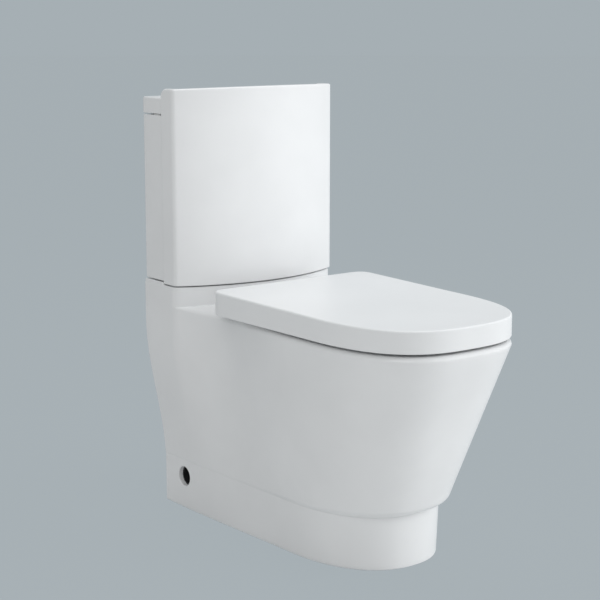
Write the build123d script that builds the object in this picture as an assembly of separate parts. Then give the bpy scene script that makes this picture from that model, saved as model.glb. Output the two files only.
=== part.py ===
from build123d import *
import math
import os

os.makedirs("parts", exist_ok=True)

# Overall sizes in millimetres. The wall is at +Y and the floor at zero.
OVERALL_DEPTH = 710.0
CISTERN_WIDTH = 366.0
SHIELD_TOP = 806.0
RIM_HEIGHT = 405.0
PLATFORM_RISE = 37.0
PLATFORM_HEIGHT = RIM_HEIGHT + PLATFORM_RISE
WALL_Y = OVERALL_DEPTH / 2
SLACK = 1.0


def at(depth):
    """Y of a point that lies this far in front of the wall."""
    return WALL_Y - depth


def save(shape, node):
    """Write one sub-component as a STEP file."""
    export_step(shape, f"parts/{node}.step")


def upright(radius, low, high, x, depth):
    """Cylinder along Z between two heights."""
    middle = Pos(x, at(depth), (low + high) / 2)
    return middle * Cylinder(radius, high - low)


def lateral(radius, low, high, depth, z):
    """Cylinder along X between two lateral positions."""
    middle = Pos((low + high) / 2, at(depth), z)
    return middle * Rot(0, 90, 0) * Cylinder(radius, abs(high - low))


def block(x0, x1, d0, d1, z0, z1):
    """Box between two lateral positions, depths and heights."""
    middle = Pos((x0 + x1) / 2, at((d0 + d1) / 2), (z0 + z1) / 2)
    return middle * Box(x1 - x0, d1 - d0, z1 - z0)


def ring(outer, inner, low, high, x, depth):
    """Tube along Z between two heights."""
    core = upright(inner, low - SLACK, high + SLACK, x, depth)
    return upright(outer, low, high, x, depth) - core


def hexagon(flats, low, high, x, depth):
    """Hexagonal prism along Z between two heights."""
    plan = RegularPolygon(flats / 2, 6, major_radius=False)
    return Pos(x, at(depth), low) * extrude(plan, high - low)


def rise(face, low, high):
    """Plan face drawn up between two heights."""
    return Pos(0, 0, low) * extrude(face, high - low, dir=(0, 0, 1))


def pair(make):
    """Group of the same piece on the left and on the right."""
    return Compound(children=[make(-1), make(1)])


# Pan casting. The rear block stands against the wall and carries the cistern,
# a waist leads to the bowl, and a lower plinth stands on the floor.
PAN_WALL = 12.0
PAN_HALF = CISTERN_WIDTH / 2
PLINTH_HALF = 143.0
PLINTH_FRONT = 572.0
PLINTH_TOP = 94.0
PLINTH_WIDE = 131.5
PLINTH_WIDE_DEPTH = 369.0
PLINTH_POWER = 2.3
FLARE_LOW = 75.0
FLARE_DROP = 35.0
FLARE_HIGH = RIM_HEIGHT - FLARE_DROP
EDGE_LOW = 92.0
EDGE_HIGH = 106.0
WAIST_DEPTH = 205.0
WAIST_LOW = 141.0
WAIST_HIGH = 147.0
MID_DEPTH = 290.0
MID_LOW = 138.5
MID_HIGH = 153.0
BOWL_LOW = 138.0
BOWL_HIGH = 165.0
BOWL_DEPTH_HIGH = 455.0
BOWL_FRONT_LOW = 590.0
BOWL_SLOPE = 0.41
BOWL_POWER_LOW = 2.5
BOWL_POWER = 3.0
LIP_ROUND = 22.0
RIM_BAND = 33.0
RIM_LIP = 11.0
RIM_START = RIM_HEIGHT - RIM_BAND
RIM_FULL = RIM_HEIGHT - RIM_LIP
RIM_FLARE = 7.0
RIM_SETBACK = 0.5
RIM_FRONT = OVERALL_DEPTH - RIM_SETBACK
RIM_ROUND = 12.0
FOOT_ROUND = 3.0


def smooth(t):
    """Soft step from zero to one."""
    t = min(max(t, 0.0), 1.0)
    return t * t * (3.0 - 2.0 * t)


def blend(low, high, t):
    return low + (high - low) * t


def rear_half(z):
    """Half width of the rear block at a height."""
    t = (z - FLARE_LOW) / (FLARE_HIGH - FLARE_LOW)
    return blend(PLINTH_HALF, PAN_HALF, smooth(t))


def bowl_plan(z):
    """Plan sizes of the pan above its plinth."""
    t = (z - PLINTH_TOP) / (RIM_HEIGHT - PLINTH_TOP)
    rise = min(max(t, 0.0), 1.0)
    flare = smooth((z - RIM_START) / (RIM_FULL - RIM_START))
    slope_front = BOWL_FRONT_LOW + BOWL_SLOPE * (min(z, RIM_START) - PLINTH_TOP)
    front = blend(slope_front, RIM_FRONT, flare)
    wide = blend(BOWL_LOW, BOWL_HIGH, rise) + RIM_FLARE * flare
    return dict(
        half=rear_half(z),
        edge=blend(EDGE_LOW, EDGE_HIGH, rise),
        waist=blend(WAIST_LOW, WAIST_HIGH, rise),
        mid=blend(MID_LOW, MID_HIGH, rise),
        wide=wide,
        wide_depth=blend(PLINTH_WIDE_DEPTH, BOWL_DEPTH_HIGH, rise),
        front=front,
        power=blend(BOWL_POWER_LOW, BOWL_POWER, rise),
    )


def plinth_plan():
    """Plan sizes of the plinth."""
    return dict(
        half=PLINTH_HALF,
        edge=EDGE_LOW,
        waist=blend(PLINTH_HALF, PLINTH_WIDE, 0.35),
        mid=blend(PLINTH_HALF, PLINTH_WIDE, 0.7),
        wide=PLINTH_WIDE,
        wide_depth=PLINTH_WIDE_DEPTH,
        front=PLINTH_FRONT,
        power=PLINTH_POWER,
    )


def half_front(half, depth0, depth1, power, steps):
    """Points of a blunt nose from its wide place to its tip."""
    points = []
    for k in range(steps + 1):
        angle = math.pi / 2 * k / steps
        x = half * max(math.cos(angle), 0.0) ** (2 / power)
        d = depth0 + (depth1 - depth0) * math.sin(angle) ** (2 / power)
        points.append((x if k < steps else 0.0, d))
    return points


def pan_section(z, plan, inset=0.0, rear=0.0):
    """Plan face of the pan at one height."""
    half = plan["half"] - inset
    edge = plan["edge"] - inset * 0.4
    right = [(half, edge)]
    right.append((plan["waist"] - inset, WAIST_DEPTH))
    right.append((plan["mid"] - inset, MID_DEPTH))
    right += half_front(plan["wide"] - inset, plan["wide_depth"],
                        plan["front"] - inset, plan["power"], 6)
    left = [(-x, d) for x, d in reversed(right[:-1])]
    curve = Spline(*[(x, at(d)) for x, d in right + left])
    start = (half, at(rear))
    stop = (-half, at(rear))
    edges = [Line(stop, start), Line(start, curve @ 0)]
    edges += [curve, Line(curve @ 1, stop)]
    return Pos(0, 0, z) * Face(Wire(edges))


def lip_plan(z):
    """Rounded lower edge that leads from the plinth to the bowl."""
    t = (z - PLINTH_TOP) / LIP_ROUND
    swell = math.sqrt(max(1.0 - (1.0 - t) ** 2, 0.0))
    foot = plinth_plan()
    full = bowl_plan(PLINTH_TOP + LIP_ROUND)
    return {key: blend(foot[key], full[key], swell) for key in foot}


LIP_TOP = PLINTH_TOP + LIP_ROUND
LIP_STEPS = 6
BODY_STEPS = 8
RIM_STEPS = 6
CROWN_STEPS = 5


def between(low, high, steps):
    """Heights after the first one, up to and with the last one."""
    return [blend(low, high, k / steps) for k in range(1, steps + 1)]


rim_base = RIM_HEIGHT - RIM_ROUND
sections = [pan_section(0, plinth_plan(), FOOT_ROUND)]
sections.append(pan_section(FOOT_ROUND, plinth_plan()))
sections.append(pan_section(PLINTH_TOP, plinth_plan()))
for z in between(PLINTH_TOP, LIP_TOP, LIP_STEPS):
    sections.append(pan_section(z, lip_plan(z)))
for z in between(LIP_TOP, RIM_START, BODY_STEPS):
    sections.append(pan_section(z, bowl_plan(z)))
for z in between(RIM_START, rim_base, RIM_STEPS):
    sections.append(pan_section(z, bowl_plan(z)))
for turn in between(0, math.pi / 2, CROWN_STEPS):
    height = rim_base + RIM_ROUND * math.sin(turn)
    inset = RIM_ROUND * (1.0 - math.cos(turn))
    sections.append(pan_section(height, bowl_plan(rim_base), inset))
skin = loft(sections, ruled=True)

# Cistern platform: the raised rear of the pan, bowed like the shield above it.
# The tank stands on a seat that is a little higher than the rest of it.
SHIELD_EDGE = 106.0
SHIELD_BOW = 48.5
WING_REAR = 66.5
PLATFORM_SETBACK = 3.0
PLATFORM_STEP = 0.6
PLATFORM_CORNER = 10.0
PLATFORM_ROUND = 2.5
TANK_SEAT_RISE = 4.5
TANK_SEAT_GAP = 1.5
TANK_SEAT_ROUND = 1.0
TANK_SEAT = PLATFORM_HEIGHT + TANK_SEAT_RISE


def bowed(half, rear, edge, bow):
    """Plan face with a straight rear and a bowed front."""
    front = ThreePointArc((half, at(edge)), (0, at(edge + bow)), (-half, at(edge)))
    edges = [Line((-half, at(rear)), (half, at(rear)))]
    edges += [Line((half, at(rear)), (half, at(edge)))]
    edges += [front, Line((-half, at(edge)), (-half, at(rear)))]
    return Face(Wire(edges))


platform_plan = bowed(PAN_HALF - PLATFORM_STEP, PLATFORM_STEP,
                      SHIELD_EDGE - PLATFORM_SETBACK, SHIELD_BOW)
front_corners = platform_plan.vertices().filter_by(
    lambda v: v.Y < at(SHIELD_EDGE - PLATFORM_SETBACK) + SLACK)
platform_plan = fillet(front_corners, PLATFORM_CORNER)
platform = rise(platform_plan, RIM_START + 3.0, PLATFORM_HEIGHT)
platform = fillet(platform.faces().sort_by(Axis.Z)[-1].edges(), PLATFORM_ROUND)
tank_seat = block(-PAN_HALF + PLATFORM_STEP, PAN_HALF - PLATFORM_STEP, PLATFORM_STEP,
                  WING_REAR - TANK_SEAT_GAP, RIM_HEIGHT, TANK_SEAT)
tank_seat = fillet(tank_seat.faces().sort_by(Axis.Z)[-1].edges(), TANK_SEAT_ROUND)
skin += platform
skin += tank_seat

# Hollow below the deck, open to the floor and through the rear wall.
DECK_THICK = 17.0
DECK_UNDERSIDE = RIM_HEIGHT - DECK_THICK
REAR_OPENING_HALF = 95.0
REAR_LINTEL = 88.0
REAR_OPENING_TOP = DECK_UNDERSIDE - REAR_LINTEL
void_faces = [pan_section(-SLACK, plinth_plan(), PAN_WALL, PAN_WALL)]
void_faces.append(pan_section(PLINTH_TOP, plinth_plan(), PAN_WALL, PAN_WALL))
for z in between(PLINTH_TOP, DECK_UNDERSIDE, BODY_STEPS):
    void_faces.append(pan_section(z, bowl_plan(z), PAN_WALL, PAN_WALL))
void = loft(void_faces, ruled=True)
rear_gap = block(-REAR_OPENING_HALF, REAR_OPENING_HALF, -SLACK, PAN_WALL + SLACK,
                 -SLACK, REAR_OPENING_TOP)

# Bowl: an oval funnel with its sump towards the rear.
BOWL_REAR = 305.0
RIM_WIDTH = 45.5
BOWL_OPEN_HALF = 123.0
BOWL_OPEN_FRONT = RIM_FRONT - RIM_WIDTH
SUMP_HEIGHT = 182.0
SUMP_HALF = 42.0
SUMP_FRONT = 425.0


def bowl_stack(grow, top):
    """Bowl space, or its outer wall when grown."""
    faces = []
    fall = RIM_HEIGHT - SUMP_HEIGHT
    for share in (0.0, 0.12, 0.35, 0.62, 0.85, 1.0):
        half = blend(BOWL_OPEN_HALF, SUMP_HALF, share ** 1.6) + grow
        front = blend(BOWL_OPEN_FRONT, SUMP_FRONT, share ** 1.5) + grow
        rear = blend(BOWL_REAR, BOWL_REAR + 15.0, share) - grow
        z = RIM_HEIGHT - share * fall
        z = top if share == 0.0 else z - grow
        oval = Ellipse(half, (front - rear) / 2)
        faces.append(Pos(0, at((front + rear) / 2), z) * oval.face())
    return loft(faces)


bowl_outer = bowl_stack(PAN_WALL, RIM_HEIGHT)
below_deck = block(-PAN_HALF, PAN_HALF, 0, OVERALL_DEPTH, 0, DECK_UNDERSIDE)
bowl_outer_below = bowl_outer & below_deck
bowl_inner = bowl_stack(0.0, RIM_HEIGHT + SLACK)

# Trapway and the waste outlet that the wall connector slides over.
TRAP_WALL = 10.0
TRAP_BORE = 35.0
OUTLET_HEIGHT = 185.0
OUTLET_RADIUS = 51.0
OUTLET_BORE = 42.0
OUTLET_END = 25.0
OUTLET_LENGTH = 80.0
TRAP_START = 372.0
TRAP_DIP = 300.0
TRAP_WEIR = 225.0
TRAP_END = 135.0
START_RISE = 30.0
DIP_RISE = 14.0
WEIR_RISE = 56.0
trap_path = [(TRAP_START, SUMP_HEIGHT + START_RISE), (TRAP_DIP, SUMP_HEIGHT + DIP_RISE),
             (TRAP_WEIR, SUMP_HEIGHT + WEIR_RISE), (TRAP_END, OUTLET_HEIGHT)]


def tube(path, radius):
    """Round passage through the points, with rounded turns."""
    shape = None
    for (d0, z0), (d1, z1) in zip(path[:-1], path[1:]):
        start = Vector(0, at(d0), z0)
        step = Vector(0, at(d1), z1) - start
        leg = Plane(origin=start, z_dir=step) * Cylinder(
            radius, step.length, align=(Align.CENTER, Align.CENTER, Align.MIN))
        shape = leg if shape is None else shape + leg
    for d, z in path[1:]:
        shape += Pos(0, at(d), z) * Sphere(radius + 1.5)
    return shape


def along(radius, d0, d1, z):
    """Cylinder along Y between two depths."""
    middle = Pos(0, at((d0 + d1) / 2), z)
    return middle * Rot(90, 0, 0) * Cylinder(radius, abs(d1 - d0))


trap_outer = tube(trap_path, TRAP_BORE + TRAP_WALL)
trap_outer += along(OUTLET_RADIUS, OUTLET_END, OUTLET_END + OUTLET_LENGTH, OUTLET_HEIGHT)
trap_outer += along(TRAP_BORE + TRAP_WALL, OUTLET_END, TRAP_END, OUTLET_HEIGHT)
trap_inner = tube(trap_path, TRAP_BORE)
trap_inner += along(TRAP_BORE + 2.0, OUTLET_END - SLACK, TRAP_END, OUTLET_HEIGHT)
trap_inner += along(OUTLET_BORE, OUTLET_END - SLACK, OUTLET_END + OUTLET_LENGTH / 2,
                    OUTLET_HEIGHT)

# Flush duct from the cistern inlet to the rear of the bowl.
INLET_DEPTH = 80.0
INLET_RADIUS = 30.0
RECESS_RADIUS = 52.0
RECESS_DEPTH = 16.0
DUCT_HALF = 30.0
DUCT_COVER = 10.0
DUCT_RISE = 33.0
DUCT_WALL = 12.0
DUCT_HIGH = DECK_UNDERSIDE - DUCT_COVER
DUCT_LOW = DUCT_HIGH - DUCT_RISE
RECESS_FLOOR = PLATFORM_HEIGHT - RECESS_DEPTH
casing = block(-DUCT_HALF - DUCT_WALL, DUCT_HALF + DUCT_WALL,
               INLET_DEPTH - INLET_RADIUS - DUCT_WALL, BOWL_REAR + DUCT_WALL,
               DUCT_LOW - DUCT_WALL, DECK_UNDERSIDE + SLACK)
tunnel = block(-DUCT_HALF, DUCT_HALF, INLET_DEPTH - INLET_RADIUS,
               BOWL_REAR + 2 * DUCT_WALL, DUCT_LOW, DUCT_HIGH)
tunnel += upright(INLET_RADIUS, DUCT_LOW, TANK_SEAT + SLACK, 0, INLET_DEPTH)
recess = upright(RECESS_RADIUS, RECESS_FLOOR, TANK_SEAT + SLACK, 0, INLET_DEPTH)

# Holes through the deck, the platform and the plinth.
TANK_BOLT_X = 75.0
TANK_BOLT_RADIUS = 4.0
PAN_BOLT_HOLE = 7.0
SUPPLY_INSET = 58.0
SUPPLY_X = PAN_HALF - SUPPLY_INSET
SUPPLY_DEPTH = 60.0
SUPPLY_HOLE = 22.0
HINGE_X = 82.0
HINGE_DEPTH = 233.0
STUD_RADIUS = 4.0
STUD_HOLE = 7.0
SIDE_HOLE = 19.0
SIDE_HOLE_DEPTH = 66.0
SIDE_HOLE_HEIGHT = 63.0
holes = recess
for side in (-1, 1):
    holes += upright(PAN_BOLT_HOLE, DECK_UNDERSIDE - 30, TANK_SEAT + SLACK,
                     side * TANK_BOLT_X, INLET_DEPTH)
    holes += upright(SUPPLY_HOLE, DECK_UNDERSIDE - 30, TANK_SEAT + SLACK,
                     side * SUPPLY_X, SUPPLY_DEPTH)
    holes += upright(STUD_HOLE, DECK_UNDERSIDE - 30, RIM_HEIGHT + SLACK,
                     side * HINGE_X, HINGE_DEPTH)
    holes += lateral(SIDE_HOLE, side * (PLINTH_HALF - 2 * PAN_WALL),
                     side * (PLINTH_HALF + PAN_WALL), SIDE_HOLE_DEPTH, SIDE_HOLE_HEIGHT)

pan = skin - void - rear_gap
pan += casing
pan = pan - bowl_outer_below - bowl_inner - tunnel - holes
save(pan, "pan_body")
basin = bowl_outer_below - bowl_inner - trap_inner - tunnel
save(basin, "pan_bowl")
save(trap_outer - bowl_outer_below - trap_inner, "pan_trapway")

# Floor brackets, bushes and screws that hold the plinth from both sides.
BUSH_RECESS = 9.0
BUSH_WALL = 3.0
BUSH_FLOOR = 4.0
BRACKET_PLATE = 5.0
BRACKET_LENGTH = 50.0
BRACKET_FOOT = 40.0
BRACKET_RISE = 85.0
BRACKET_SCREW_HALF = 15.0
SCREW_TIP = 8.0
SCREW_RADIUS = 3.0
SCREW_HEAD = 6.5
SCREW_HEAD_HIGH = 4.0
BUSH_LENGTH = 34.0
bush_out = PLINTH_HALF - BUSH_RECESS
bush_in = bush_out - BUSH_LENGTH


def side_row(low, high, side):
    """Lateral limits mirrored to one side, in rising order."""
    return sorted((side * low, side * high))


def fixing_bush(side):
    lo, hi = side_row(bush_in, bush_out, side)
    cup = lateral(SIDE_HOLE, lo, hi, SIDE_HOLE_DEPTH, SIDE_HOLE_HEIGHT)
    lo, hi = side_row(bush_in + BUSH_FLOOR, bush_out + SLACK, side)
    cup -= lateral(SIDE_HOLE - BUSH_WALL, lo, hi, SIDE_HOLE_DEPTH, SIDE_HOLE_HEIGHT)
    lo, hi = side_row(bush_in - SLACK, bush_in + BUSH_FLOOR + SLACK, side)
    return cup - lateral(SCREW_RADIUS, lo, hi, SIDE_HOLE_DEPTH, SIDE_HOLE_HEIGHT)


def floor_bracket(side):
    d0 = SIDE_HOLE_DEPTH - BRACKET_LENGTH / 2
    d1 = SIDE_HOLE_DEPTH + BRACKET_LENGTH / 2
    lo, hi = side_row(bush_in - BRACKET_PLATE, bush_in, side)
    shape = block(lo, hi, d0, d1, 0, BRACKET_RISE)
    lo, hi = side_row(bush_in - BRACKET_FOOT, bush_in, side)
    shape += block(lo, hi, d0, d1, 0, BRACKET_PLATE)
    lo, hi = side_row(bush_in - BRACKET_PLATE - SLACK, bush_in + SLACK, side)
    shape -= lateral(SCREW_RADIUS, lo, hi, SIDE_HOLE_DEPTH, SIDE_HOLE_HEIGHT)
    for x, d in bracket_holes(side):
        shape -= upright(SCREW_RADIUS, -SLACK, BRACKET_PLATE + SLACK, x, d)
    return shape


def bracket_holes(side):
    x = side * (bush_in - BRACKET_FOOT / 2)
    return [(x, SIDE_HOLE_DEPTH + s * BRACKET_SCREW_HALF) for s in (-1, 1)]


def side_screw(side):
    seat = bush_in + BUSH_FLOOR
    lo, hi = side_row(bush_in - BRACKET_PLATE - SCREW_TIP, seat, side)
    shape = lateral(SCREW_RADIUS, lo, hi, SIDE_HOLE_DEPTH, SIDE_HOLE_HEIGHT)
    lo, hi = side_row(seat, seat + SCREW_HEAD_HIGH, side)
    head = lateral(SCREW_HEAD, lo, hi, SIDE_HOLE_DEPTH, SIDE_HOLE_HEIGHT)
    return shape + head


def floor_screw(x, d):
    top = BRACKET_PLATE + SCREW_HEAD_HIGH
    head = upright(SCREW_HEAD, BRACKET_PLATE, top, x, d)
    return upright(SCREW_RADIUS, 0, BRACKET_PLATE, x, d) + head


save(pair(fixing_bush), "fixing_bushes")
save(pair(floor_bracket), "floor_brackets")
save(pair(side_screw), "side_fixing_screws")
spots = bracket_holes(-1) + bracket_holes(1)
save(Compound(children=[floor_screw(x, d) for x, d in spots]), "bracket_screws")

# Seat lid: a flat top with a skirt that wraps over the seat ring.
LID_REAR = 221.0
LID_HALF = 178.0
LID_WIDE = 172.9
LID_WIDE_DEPTH = 471.0
LID_POWER = 2.8
LID_GAP = 5.0
LID_HIGH = 40.0
LID_BOTTOM = RIM_HEIGHT + LID_GAP
LID_TOP = LID_BOTTOM + LID_HIGH
LID_PLATE = 5.0
LID_SKIRT = 5.0
LID_CORNER = 6.0
LID_EDGE = 3.5
LID_INSIDE = LID_TOP - LID_PLATE


def lid_plan(inset, rear):
    """Plan face of the lid or of what lies inside it."""
    nose = half_front(LID_WIDE - inset, LID_WIDE_DEPTH, OVERALL_DEPTH - inset,
                      LID_POWER, 8)
    left = [(-x, d) for x, d in reversed(nose[:-1])]
    points = [(x, at(d)) for x, d in nose + left]
    lean = (LID_WIDE - LID_HALF) / (LID_WIDE_DEPTH - LID_REAR)
    half = LID_HALF - inset + lean * (rear - LID_REAR)
    slope = Vector(lean, -1, 0)
    front = Spline(*points, tangents=[slope, Vector(lean, 1, 0)])
    edges = [Line((-half, at(rear)), (half, at(rear)))]
    edges += [Line((half, at(rear)), front @ 0), front]
    edges += [Line(front @ 1, (-half, at(rear)))]
    face = Face(Wire(edges))
    corners = face.vertices().filter_by(lambda v: v.Y > at(rear) - 0.5)
    return fillet(corners, max(LID_CORNER - inset, 3.0))


lid = rise(lid_plan(0, LID_REAR), LID_BOTTOM, LID_TOP)
lid = fillet(lid.faces().sort_by(Axis.Z)[-1].edges(), LID_EDGE)
lid -= rise(lid_plan(LID_SKIRT, LID_REAR + LID_SKIRT), LID_BOTTOM - SLACK, LID_INSIDE)
LID_REAR_GAP = LID_HALF - LID_SKIRT - 3.0
lid -= block(-LID_REAR_GAP, LID_REAR_GAP, LID_REAR - SLACK, LID_REAR + LID_CORNER,
             LID_BOTTOM - SLACK, LID_INSIDE)

# Hinges: posts on the deck hold a pin each, the lugs of seat and lid turn on it.
AXIS_RISE = 23.0
AXIS_HEIGHT = RIM_HEIGHT + AXIS_RISE
PIN_RADIUS = 5.0
RUNNING_FIT = 0.05
LUG_RADIUS = 10.0
POST_HALF = 8.0
LUG_GAP = 2.0
LUG_WIDTH = 16.0
BASE_RADIUS = 17.0
BASE_HIGH = 4.0
DAMPER_RADIUS = 9.0
DAMPER_LENGTH = 16.0
lid_lug_out = HINGE_X - POST_HALF - LUG_GAP
lid_lug_in = lid_lug_out - LUG_WIDTH
seat_lug_in = HINGE_X + POST_HALF + LUG_GAP
seat_lug_out = seat_lug_in + LUG_WIDTH
damper_out = lid_lug_in - LUG_GAP
damper_in = damper_out - DAMPER_LENGTH
bore = PIN_RADIUS + RUNNING_FIT

for side in (-1, 1):
    lo, hi = side_row(lid_lug_in, lid_lug_out, side)
    lid += block(lo, hi, HINGE_DEPTH - LUG_RADIUS, HINGE_DEPTH + LUG_RADIUS,
                 AXIS_HEIGHT, LID_INSIDE)
    lid += lateral(LUG_RADIUS, lo, hi, HINGE_DEPTH, AXIS_HEIGHT)
    lid -= lateral(bore, lo - SLACK, hi + SLACK, HINGE_DEPTH, AXIS_HEIGHT)
save(lid, "seat_lid")

# Seat ring: lies inside the skirt on four buffers, with a lug at each hinge.
BUFFER_HIGH = 6.0
SEAT_GAP = 3.0
SEAT_HIGH = 20.0
SEAT_REAR = 256.0
SEAT_EDGE = 5.0
SEAT_DISH = 7.0
SEAT_OPEN_REAR = 330.0
SEAT_OPEN_HALF = 108.0
SEAT_RIM = 62.0
seat_low = RIM_HEIGHT + BUFFER_HIGH
seat_top = seat_low + SEAT_HIGH
seat_inset = LID_SKIRT + SEAT_GAP
seat = rise(lid_plan(seat_inset, SEAT_REAR), seat_low, seat_top)
seat = fillet(seat.faces().sort_by(Axis.Z)[-1].edges(), SEAT_EDGE)
open_front = OVERALL_DEPTH - SEAT_RIM
open_middle = (open_front + SEAT_OPEN_REAR) / 2
open_length = (open_front - SEAT_OPEN_REAR) / 2


def seat_oval(grow, z):
    """Plan face of the seat opening at one height."""
    oval = Ellipse(SEAT_OPEN_HALF + grow, open_length + grow)
    return Pos(0, at(open_middle), z) * oval.face()


seat -= loft([seat_oval(0, seat_low - SLACK), seat_oval(0, seat_top)])
slope_low = seat_oval(-SLACK, seat_top - SEAT_DISH - SLACK)
slope_high = seat_oval(SEAT_DISH + SLACK, seat_top + SLACK)
seat -= loft([slope_low, slope_high], ruled=True)
for side in (-1, 1):
    lo, hi = side_row(seat_lug_in, seat_lug_out, side)
    seat += block(lo, hi, HINGE_DEPTH, SEAT_REAR + 12.0, seat_low + 4.0, seat_top - SEAT_EDGE)
    seat += lateral(LUG_RADIUS, lo, hi, HINGE_DEPTH, AXIS_HEIGHT)
    seat -= lateral(bore, lo - SLACK, hi + SLACK, HINGE_DEPTH, AXIS_HEIGHT)
save(seat, "seat_ring")

# Rubber buffers below the seat and below the lid.
SIDE_BUFFER_X = (BOWL_OPEN_HALF + BOWL_HIGH) / 2
SIDE_BUFFER_DEPTH = 400.0
FRONT_BUFFER_X = 121.0
FRONT_BUFFER_SETBACK = 112.0
FRONT_BUFFER_DEPTH = OVERALL_DEPTH - FRONT_BUFFER_SETBACK
BUFFER_HALF = 6.0
BUFFER_LENGTH = 34.0
LID_BUFFER_RADIUS = 7.0
buffer_spots = [(s * SIDE_BUFFER_X, SIDE_BUFFER_DEPTH) for s in (-1, 1)]
buffer_spots += [(s * FRONT_BUFFER_X, FRONT_BUFFER_DEPTH) for s in (-1, 1)]


def seat_buffer(x, d):
    return block(x - BUFFER_HALF, x + BUFFER_HALF, d - BUFFER_LENGTH / 2,
                 d + BUFFER_LENGTH / 2, RIM_HEIGHT, seat_low)


def lid_buffer(x, d):
    return upright(LID_BUFFER_RADIUS, seat_top, LID_INSIDE, x, d)


save(Compound(children=[seat_buffer(x, d) for x, d in buffer_spots]), "seat_buffers")
save(Compound(children=[lid_buffer(x, d) for x, d in buffer_spots]), "lid_buffers")


# Hinge posts, pins, dampers and the studs that clamp the posts to the deck.
STUD_SINK = 2.5
STUD_REACH = 26.0
STUD_END = DECK_UNDERSIDE - STUD_REACH
WASHER_HIGH = 3.0
WASHER_RADIUS = 13.0
NUT_FLATS = 17.0
NUT_HIGH = 8.0
base_top = RIM_HEIGHT + BASE_HIGH


def hinge_base(side):
    x = side * HINGE_X
    shape = upright(BASE_RADIUS, RIM_HEIGHT, base_top, x, HINGE_DEPTH)
    shape += block(x - POST_HALF, x + POST_HALF, HINGE_DEPTH - LUG_RADIUS,
                   HINGE_DEPTH + LUG_RADIUS, base_top, AXIS_HEIGHT)
    shape += lateral(LUG_RADIUS, x - POST_HALF, x + POST_HALF, HINGE_DEPTH, AXIS_HEIGHT)
    shape -= lateral(PIN_RADIUS, x - POST_HALF - SLACK, x + POST_HALF + SLACK,
                     HINGE_DEPTH, AXIS_HEIGHT)
    stud_top = RIM_HEIGHT + STUD_SINK
    return shape - upright(STUD_RADIUS, RIM_HEIGHT - SLACK, stud_top, x, HINGE_DEPTH)


def hinge_pin(side):
    lo, hi = side_row(damper_in + 3.0, seat_lug_out, side)
    return lateral(PIN_RADIUS, lo, hi, HINGE_DEPTH, AXIS_HEIGHT)


def hinge_damper(side):
    lo, hi = side_row(damper_in, damper_out, side)
    shape = lateral(DAMPER_RADIUS, lo, hi, HINGE_DEPTH, AXIS_HEIGHT)
    return shape - hinge_pin(side)


def hinge_stud(side):
    return upright(STUD_RADIUS, STUD_END, RIM_HEIGHT + STUD_SINK, side * HINGE_X, HINGE_DEPTH)


def stud_washer(side):
    low = DECK_UNDERSIDE - WASHER_HIGH
    return ring(WASHER_RADIUS, STUD_RADIUS, low, DECK_UNDERSIDE, side * HINGE_X, HINGE_DEPTH)


def stud_nut(side):
    high = DECK_UNDERSIDE - WASHER_HIGH
    nut = hexagon(NUT_FLATS, high - NUT_HIGH, high, side * HINGE_X, HINGE_DEPTH)
    return nut - upright(STUD_RADIUS, high - NUT_HIGH - SLACK, high + SLACK,
                         side * HINGE_X, HINGE_DEPTH)


save(pair(hinge_base), "hinge_bases")
save(pair(hinge_pin), "hinge_pins")
save(pair(hinge_damper), "hinge_dampers")
save(pair(hinge_stud), "hinge_studs")
save(pair(stud_washer), "stud_washers")
save(pair(stud_nut), "stud_nuts")

# Cistern: a tank cast in one with the bowed shield that stands up in front.
PAD_HIGH = 2.0
SHIELD_GAP = 2.5
WING_STEP = 2.0
PARAPET = 49.0
TANK_BOTTOM = TANK_SEAT + PAD_HIGH
SHIELD_BOTTOM = PLATFORM_HEIGHT + SHIELD_GAP
TANK_HALF = PAN_HALF - WING_STEP
TANK_TOP = SHIELD_TOP - PARAPET
TANK_WALL = 12.0
TANK_FLOOR = 14.0
SHIELD_WALL = 14.0
SHIELD_CROWN = 3.0
SHIELD_CORNER = 6.0
WING_ROUND = 15.0
SHIELD_EDGE_ROUND = 4.0
floor_top = TANK_BOTTOM + TANK_FLOOR
inner_edge = SHIELD_EDGE - SHIELD_WALL
inner_half = PAN_HALF - SHIELD_WALL


shield = rise(bowed(PAN_HALF, WING_REAR, SHIELD_EDGE, SHIELD_BOW), SHIELD_BOTTOM,
              SHIELD_TOP + SHIELD_CROWN)
corner_edges = shield.edges().filter_by(Axis.Z).filter_by(
    lambda e: e.center().Y < at(SHIELD_EDGE - SLACK))
shield = fillet(corner_edges, SHIELD_EDGE_ROUND)
top_arc = ThreePointArc((PAN_HALF, SHIELD_TOP), (0, SHIELD_TOP + SHIELD_CROWN),
                        (-PAN_HALF, SHIELD_TOP))
front_edges = [Line((-PAN_HALF, SHIELD_BOTTOM), (PAN_HALF, SHIELD_BOTTOM))]
front_edges += [Line((PAN_HALF, SHIELD_BOTTOM), (PAN_HALF, SHIELD_TOP)), top_arc]
front_edges += [Line((-PAN_HALF, SHIELD_TOP), (-PAN_HALF, SHIELD_BOTTOM))]
front_face = Face(Wire(front_edges))
top_corners = front_face.vertices().filter_by(lambda v: v.Y > SHIELD_TOP - SLACK)
front_face = fillet(top_corners, SHIELD_CORNER)
front_slab = extrude(Rot(90, 0, 0) * front_face, OVERALL_DEPTH / 2, dir=(0, 1, 0))
shield = shield & front_slab
wing_rear = at(WING_REAR)
ceiling = SHIELD_TOP + SHIELD_CROWN + SLACK
round_low = SHIELD_TOP - WING_ROUND
round_stop = wing_rear - WING_ROUND
bend = WING_ROUND * (1.0 - math.sqrt(0.5))
wing_arc = ThreePointArc((0, wing_rear, round_low), (0, wing_rear - bend, SHIELD_TOP - bend),
                         (0, round_stop, SHIELD_TOP))
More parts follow.
